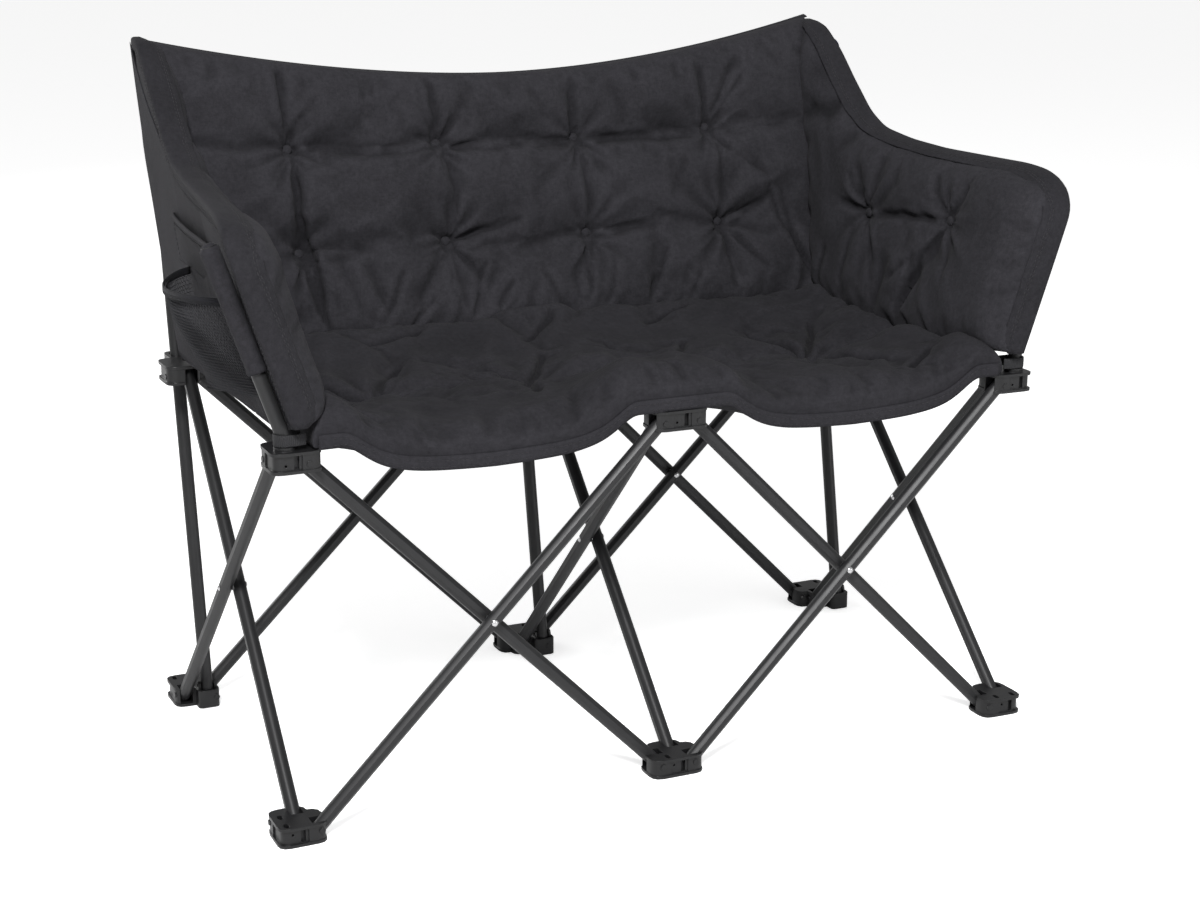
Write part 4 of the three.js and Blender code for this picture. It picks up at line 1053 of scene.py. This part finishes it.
# Edges, straps and pockets
def make_back_binding(name):
    """Folded hem along the top of the back, over its rear and front edge."""
    s = np.linspace(-1, 1, 180)
    z = back_top(s * BACK_HALF) - 1
    side = np.where(s < 0, -1.0, 1.0)
    x = s * (arm_face(side, back_y(z), z) - 1)
    line = np.stack([x, back_y(z), z], 1)
    down = np.array([0, -math.sin(LEAN), -math.cos(LEAN)])
    ripple = noise(x / 23, 0 * x, 91)[:, None] * 0.8
    columns = [line + down * (d + ripple * (d > 5)) - BACK_NORMAL * (0.9 + 0.02 * d)
               for d in (17, 12, 7, 2.5, 0.3)]
    columns += [line + BACK_NORMAL * 12 * k - down * (1.0 + 0.8 * math.sin(math.pi * k))
                for k in (0.25, 0.5, 0.75)]
    columns += [line + down * d + BACK_NORMAL * (12.6 + 1.7 * d ** 0.9 + ripple)
                for d in (0.4, 2.5, 5.0)]
    grid = np.stack(columns, 1)
    return hem_band(name, grid, slice(0, 3), -BACK_NORMAL, 1.2, canvas_painted_shade, (1,), 3, 1.3)


def make_seat_hem(name):
    """Band along the front edge of the seat, folded under it."""
    s = np.linspace(-0.985, 0.985, 190)
    y0 = np.full_like(s, SEAT_FRONT)
    x = s * (SEAT_HALF + 4 * (1 - hub_lift(SEAT_HALF, SEAT_FRONT)))
    low = seat_low(x, y0, np.abs(s))
    wave = 0.8 * noise(s * 22, 0 * s, 95)
    columns = []
    for d in (26, 18, 9, 2.5):
        yy = y0 + d
        under = seat_low(x, yy, np.abs(s))
        columns.append(np.stack([x, yy, np.minimum(under, low + 2) - 0.6], 1))
    for h in (-0.6, 3, 7, 11, 14, 17):
        stand = 0.7 + 1.2 * math.sin(math.pi * clip((h + 1) / 18)) ** 0.8
        columns.append(np.stack([x, y0 - stand - 0.5 * wave, low + h], 1))
    grid = np.stack(columns, 1)
    return hem_band(name, grid, slice(-3, -2), (0, -1, 0), 1.2, canvas, (5, 7), 3, 1.35)


def arm_line(side, share):
    """Middle of an arm tube above its bend, and its direction."""
    base = np.array([side * (HUB_X + 4), -HUB_D / 2 - 5, HUB_TOP + 14.3])
    tip = np.array([side * 615.0, -240.0, 770.0])
    return lerp(base, tip, share), (tip - base) / np.linalg.norm(tip - base)


def make_sleeve(side, name):
    """Sewn sleeve round an arm tube, a little loose, with a turned lower edge."""
    shares = np.linspace(0.35, 1.012, 46)
    path = np.array([arm_line(side, t)[0] for t in shares])
    sections = []
    a = np.linspace(0, 2 * math.pi, 28, endpoint=False)
    for t in shares:
        close = smooth((shares[-1] - t) / 0.03) * 0.55 + 0.45
        r = 12.6 + 1.3 * bell(t - 0.362, 0.012)
        r = r + 0.5 * noise(np.cos(a) * 2 + 9, t * 60 + 0 * a, 101)
        seam = 7.5 * bell((a - math.pi) % (2 * math.pi), 0.3) * (0.6 if t > 0.39 else 0.3)
        sections.append(np.stack([(r + seam) * np.cos(a) * close,
                                  (r + 0.2 * seam) * np.sin(a) * close], 1))
    return sweep(name, path, np.array(sections), canvas, ups=np.array([side, 0, 0.3]))


def make_webbing(side, name):
    """Woven tape round the foot of an arm tube and back to the corner of the seat."""
    cx, cy = side * (HUB_X + 4), -HUB_D / 2 - 5
    z0 = HUB_TOP + 5.6
    spots = [(cx + side * 13.4 * math.cos(a), cy + 13.4 * math.sin(a), z0 + 8)
             for a in np.linspace(-0.6 * math.pi, 0.6 * math.pi, 20)]
    first, last = spots[0], spots[-1]
    inner = cx - side * 24
    pts = [(inner, cy - 10.5, z0 + 8.5), (lerp(inner, first[0], 0.5), cy - 12.3, z0 + 8.2)] + spots
    pts += [(lerp(inner, last[0], 0.5), cy + 12.3, z0 + 8.2), (inner, cy + 10.5, z0 + 8.5)]
    path = relaxed(even(pts, 2.5))
    return sweep(name, path, ring(1.1, 7.4, 14, 5.0), webbing)


POCKET_REAR, POCKET_FRONT, POCKET_BULGE = 110.0, -205.0, 66.0
NET_CELL, NET_YARN, NET_HIGH, NET_LONG = 6.0, 1.5, 160.0, 345.0


def pocket_top(y):
    return lerp(689.4, 677.2, smooth((y - POCKET_FRONT) / (POCKET_REAR - POCKET_FRONT)))


def net_point(u, v):
    y = lerp(POCKET_REAR, POCKET_FRONT, u)
    z = lerp(lerp(512, 566, u), pocket_top(y), v)
    belly = np.sin(math.pi * clip(u)) ** 0.7 * np.sin(math.pi / 2 * clip(v)) ** 0.8
    sag = 2.5 * noise(u * 7, v * 4, 111) * belly
    x = arm_face(-1, y, z) + 1.6 + (POCKET_BULGE - 2) * belly + sag
    return np.stack([-x, y, z], -1)


def make_net(name):
    """Knitted net: six-sided holes on the pocket's surface, each thread a fine bar."""
    rows, cols = int(NET_HIGH / (NET_CELL * 0.87)), int(NET_LONG / NET_CELL)
    index, pts, faces, uvs = {}, [], [], []

    def corner(i, j):
        if (i, j) not in index:
            u, v = i * 0.5 / cols, j / (3.0 * rows)
            index[i, j] = len(pts)
            pts.append(net_point(clip(u), clip(v)))
            uvs.append((u * NET_LONG, v * NET_HIGH))
        return index[i, j]

    for r in range(rows):
        for c in range(cols):
            i, j = 2 * c + 1 + (r % 2), 3 * r + 1
            if i + 1 > 2 * cols:
                continue
            steps = ((0, -2), (1, -1), (1, 1), (0, 2), (-1, 1), (-1, -1))
            faces.append([corner(i + di, j + dj) for di, dj in steps])
    ob = make_object(name, np.array(pts), faces, net_yarn, uvs)
    bars = ob.modifiers.new("bars", "WIREFRAME")
    bars.thickness = NET_YARN / 1000
    bars.use_replace = True
    bars.use_even_offset = False
    return ob


def make_rim(name):
    """Flat elastic tape along the mouth of the net pocket, standing off the arm."""
    u = np.linspace(0, 1, 60)
    y = lerp(POCKET_REAR, POCKET_FRONT, u)
    belly = np.sin(math.pi * u) ** 0.7
    z = pocket_top(y) + 1.0 - 3.0 * np.sin(math.pi * u)
    x = arm_face(-1, y, z) + 2.4 + (POCKET_BULGE - 1.5) * belly
    path = relaxed(np.stack([-x, y, z], 1))
    return sweep(name, path, ring(1.2, 5.2, 14, 5.0), elastic)


def make_patch(name):
    """Cloth pocket above the net, gaping a little at its hemmed mouth."""
    u, v = unit_grid(60, 26)
    y, z = lerp(170, -150, u), lerp(684, 745, v)
    belly = np.sin(math.pi * u) ** 0.6 * np.sin(math.pi / 2 * v) ** 0.9
    ripple = 0.8 * folds(y, z, 30, 121, 0.6, 2.5) * belly
    x = arm_face(-1, y, z) + 1.5 + 9.5 * belly + ripple
    grid = np.stack([-x, y, z], 2)
    body = shell(name, grid, 1.1, canvas, (-1, 0, 0))
    mouth = relaxed(grid[-1] + np.array([-1.2, 0, 0]))
    hem = sweep(name + "_hem", mouth, ring(1.7, 4.2, 12, 3.0), canvas_painted_shade)
    off = np.array([-1.35, 0, 0])
    lines = [grid[-4][2:-2] + off, grid[2:-2, 2] + off, grid[2:-2, -3] + off]
    sewn = stitches(name + "_stitches", lines, [(-1, 0, 0)] * 3)
    return body, hem, sewn


POST_LEAN = math.radians(10.55)
POST_DIR = np.array([0, math.sin(POST_LEAN), math.cos(POST_LEAN)])
POST_FOOT, CAP_LENGTH, CAP_SIDES = np.array([20.0, 271.75 - 43, 32.0]), 95.5, 36


def make_post_cap(side, top_z, name):
    """Sewn pocket that holds the back on a post: rounded behind, flat webs in front."""
    foot = POST_FOOT + [side * HUB_PITCH, 0, 0]
    length = (top_z - POST_FOOT[2]) / POST_DIR[2] + 2.6 - CAP_LENGTH
    heights = np.r_[np.linspace(0, 84, 15), 89, 92.6, 94.4, 95.2]
    a = np.linspace(0, 2 * math.pi, CAP_SIDES, endpoint=False)
    rows = []
    for h in heights:
        c = foot + POST_DIR * (length + h)
        shut = 1.0 if h < 89 else max(0.05, math.sqrt(max(0, 1 - ((h - 88) / 7.6) ** 2)))
        r = 12.4 + 1.0 * bell(h - 4, 3.5) + 0.35 * noise(np.cos(a) * 2 + 5, h / 9 + 0 * a, 131)
        x, y = c[0] + r * shut * np.cos(a), c[1] + r * shut * np.sin(a)
        wall = back_y(c[2]) + 1.2
        spread = np.where(np.sin(a) < 0.15, 1 + 0.55 * smooth((0.15 - np.sin(a)) / 0.8), 1)
        rows.append(np.stack([c[0] + (x - c[0]) * spread, np.maximum(y, wall), c[2] + 0 * a], 1))
    faces = grid_faces(len(rows), CAP_SIDES, wrap=True)
    faces += end_faces(len(rows), CAP_SIDES)
    uv = np.stack(np.broadcast_arrays(np.arange(CAP_SIDES) * 2.2, heights[:, None]), 2)
    body = make_object(name, np.array(rows), faces, canvas_painted_shade, uv)
    turn = np.linspace(0.12 * math.pi, 0.88 * math.pi, 24)
    c = foot + POST_DIR * (length + 8)
    out = np.stack([np.cos(turn), np.sin(turn), 0 * turn], 1)
    return body, stitches(name + "_stitches", [c + 13.6 * out], [out])


def make_tag(name):
    """Small blank woven tape folded over the edge at the right end of the back."""
    y, z = 300.0, 944.0
    x = arm_face(1, y, z) + 1.6
    u, v = unit_grid(9, 15)
    yy, zz = y - 2 - 13 * u, z - 26 * v - 9 * u
    xx = x + 1.2 * np.sin(math.pi * u) + 0.5 * np.sin(4 * v) + 0 * u
    return shell(name, np.stack([xx, yy, zz], 2), 0.8, navy, (1, 0, 0))


# Dressing the frame
def smooth_by_angle():
    """Modifier group that welds a solid's split corners and smooths its round faces."""
    group = bpy.data.node_groups.new("round_faces", "GeometryNodeTree")
    for way in ("INPUT", "OUTPUT"):
        group.interface.new_socket("Geometry", in_out=way, socket_type="NodeSocketGeometry")
    nodes, links = group.nodes, group.links
    start, end = nodes.new("NodeGroupInput"), nodes.new("NodeGroupOutput")
    weld = nodes.new("GeometryNodeMergeByDistance")
    weld.inputs["Distance"].default_value = 0.00001
    drop = nodes.new("GeometryNodeRemoveAttribute")
    drop.inputs["Name"].default_value = "custom_normal"
    whole, sharp = nodes.new("GeometryNodeSetShadeSmooth"), nodes.new("GeometryNodeSetShadeSmooth")
    sharp.domain = "EDGE"
    angle = nodes.new("GeometryNodeInputMeshEdgeAngle")
    above = nodes.new("FunctionNodeCompare")
    above.inputs[1].default_value = math.radians(38)
    chain = [start, weld, drop, whole, sharp, end]
    for node, following in zip(chain, chain[1:]):
        links.new(node.outputs[0], following.inputs[0])
    links.new(angle.outputs["Unsigned Angle"], above.inputs[0])
    links.new(above.outputs[0], sharp.inputs["Selection"])
    sharp.inputs["Shade Smooth"].default_value = False
    return group


LOOKS = {"tube": steel, "post": steel, "arm_tube": steel, "foot": plastic, "hub": plastic,
         "rivet": bright}
rounding = smooth_by_angle()
for name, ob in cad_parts.items():
    look = next((m for key, m in LOOKS.items() if name.startswith(key)), canvas)
    ob.data.materials.clear()
    ob.data.materials.append(look)
    mod = ob.modifiers.new("round_faces", "NODES")
    mod.node_group = rounding


def dress(ob, body, part=None, replaces=()):
    """Puts a soft piece on its body, gives a back, seat or arm piece its own mesh, and hides the
    solids it replaces.
    """
    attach(ob, body)
    if part == "back":
        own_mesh(ob)
    elif part == "seat":
        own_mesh(ob)
    elif part == "arm":
        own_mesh(ob)
    if replaces:
        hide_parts(*replaces)
    return ob


def dress_pad(ob, body, part, replaces, spots, out, name, relief):
    detailed(ob, relief, out)
    tree = tree_of(ob)
    dress(ob, body, part, replaces)
    for k, spot in enumerate(spots):
        dress(button(f"{name}_{k + 1}", tree, spot, out), body, part)


back = make_back()
dress_pad(back, "post_centre", "back", ["back_pad"],
          [(x, back_y(z), z) for x, z in BACK_TUFTS], BACK_NORMAL, "back_button", back_fine)
for ob in make_back_binding("back_hem"):
    dress(ob, "post_centre", "back")
dress(make_tag("edge_tag"), "post_centre", "back")

front = make_seat("seat_padding_front", SEAT_FRONT, SEAT_SPLIT - 0.3, True)
rear = make_seat("seat_padding_rear", SEAT_SPLIT + 0.3, SEAT_REAR, False)
seat_spots = [(x, SEAT_SPLIT - 5, 500) for x, _ in SEAT_TUFTS]
dress_pad(front, "seat_front", "seat", ["seat_front_pad"], seat_spots, (0, 0, 1),
          "seat_button", seat_fine)
dress_pad(rear, "seat_rear", "seat", ["seat_rear_pad"], [], (0, 0, 1), "", seat_fine)
for ob in make_seat_hem("seat_hem"):
    dress(ob, "seat_front", "seat")

for side, word in ((-1, "left"), (1, "right")):
    body = f"hub_front_{word}"
    pad = make_arm(side, f"arm_padding_{word}")
    spots = [(side * arm_x(side, y, z), y, z) for y, z in ARM_TUFTS]
    dress_pad(pad, body, "arm", [f"arm_pad_{word}"], spots, (-side, 0, 0),
              f"arm_button_{word}", arm_fine)
    panel = dress(make_arm_panel(side, f"arm_panel_{word}"), body, "arm")
    hems = [dress(ob, body, "arm") for ob in make_arm_band(side, f"arm_hem_{word}")]
    dress(make_sleeve(side, f"tube_sleeve_{word}"), body, None, [f"arm_sleeve_{word}"])
    dress(make_webbing(side, f"tape_loop_{word}"), body, None, [f"webbing_{word}"])

net = dress(make_net("net"), "hub_front_left", "arm", ["net_pocket"])
rim = dress(make_rim("net_rim"), "hub_front_left", "arm", ["pocket_rim"])
patch, *edges = make_patch("cloth_pocket")
dress(patch, "hub_front_left", "arm", ["patch_pocket"])
for ob in edges:
    dress(ob, "hub_front_left", "arm")
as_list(edges)

for side, word, top in ((-1, "left", 950), (0, "centre", 884), (1, "right", 950)):
    cap, sewn = make_post_cap(side, top, f"cap_pocket_{word}")
    dress(cap, f"post_{word}", None, [f"post_cap_{word}"])
    dress(sewn, f"post_{word}")


# Camera at the photograph's angle, and the studio
AZIMUTH, PITCH, ROLL = (math.radians(a) for a in (-25.02, 15.09, 0.304))
CAMERA_AT = Vector((-1265.9, -2742.8 - MIDDLE_Y, 1206.9)) / 1000
FLOOR_SIZE, FLOOR_CELLS, FLOOR_GLOW, ROOM_LIGHT = 60.0, 12, 0.6, 0.34
# name, place, size in metres, power in watts
LAMPS = [("key", (-1.7, -3.1, 3.4), 1.0, 240), ("fill", (2.8, -4.0, 1.5), 2.4, 46),
         ("rear", (-2.4, 4.2, 1.7), 2.6, 90)]


def make_camera():
    back = Vector((math.sin(AZIMUTH) * math.cos(PITCH), -math.cos(AZIMUTH) * math.cos(PITCH),
                   math.sin(PITCH)))
    right = (-back).cross(Vector((0, 0, 1))).normalized()
    up = right.cross(-back)
    across = math.cos(ROLL) * right + math.sin(ROLL) * up
    above = -math.sin(ROLL) * right + math.cos(ROLL) * up
    cam = link("camera", bpy.data.cameras.new("camera"))
    turn = Matrix((across, above, back)).transposed().to_4x4()
    cam.matrix_world = Matrix.Translation(CAMERA_AT) @ turn
    cam.data.sensor_width = 36.0
    cam.data.lens = 64.65
    cam.data.clip_end = 100
    bpy.context.scene.camera = cam


def make_floor():
    mesh = bpy.data.meshes.new("floor")
    ticks = [(k / FLOOR_CELLS - 0.5) * FLOOR_SIZE for k in range(FLOOR_CELLS + 1)]
    mesh.from_pydata([(x, y, -0.0004) for y in ticks for x in ticks], [],
                     grid_faces(len(ticks), len(ticks)))
    look = Look("pale_floor")
    look.set({"Base Color": (0.93, 0.93, 0.93, 1), "Roughness": 0.9, "Specular IOR Level": 0.1,
              "Emission Color": (1, 1, 1, 1)})
    seen = look.nodes.new("ShaderNodeLightPath").outputs["Is Camera Ray"]
    look.join(look.maths("MULTIPLY", seen, FLOOR_GLOW), look.shader, "Emission Strength")
    mesh.materials.append(look.material)
    link("floor", mesh)


def make_studio():
    """A white world that only the camera sees at full strength, and three soft lamps."""
    world = bpy.data.worlds.new("studio")
    bpy.context.scene.world = world
    world.use_nodes = True
    tree = world.node_tree
    mix = tree.nodes.new("ShaderNodeMixShader")
    seen = tree.nodes.new("ShaderNodeLightPath")
    tree.links.new(seen.outputs["Is Camera Ray"], mix.inputs[0])
    room, backdrop = tree.nodes["Background"], tree.nodes.new("ShaderNodeBackground")
    for slot, (node, strength) in enumerate(((room, ROOM_LIGHT), (backdrop, 1.0)), 1):
        node.inputs["Color"].default_value = (1.0, 1.0, 1.0, 1)
        node.inputs["Strength"].default_value = strength
        tree.links.new(node.outputs[0], mix.inputs[slot])
    tree.links.new(mix.outputs[0], tree.nodes["World Output"].inputs["Surface"])
    for name, place, wide, power in LAMPS:
        data = bpy.data.lights.new(name, "AREA")
        data.shape = "DISK"
        data.size = wide
        data.energy = power
        lamp = link(name, data)
        lamp.location = place
        aim = Vector((0, 0, 0.5)) - Vector(place)
        lamp.rotation_euler = aim.to_track_quat("-Z", "Y").to_euler()


make_camera()
make_floor()
make_studio()
bpy.context.scene.view_settings.view_transform = "Standard"
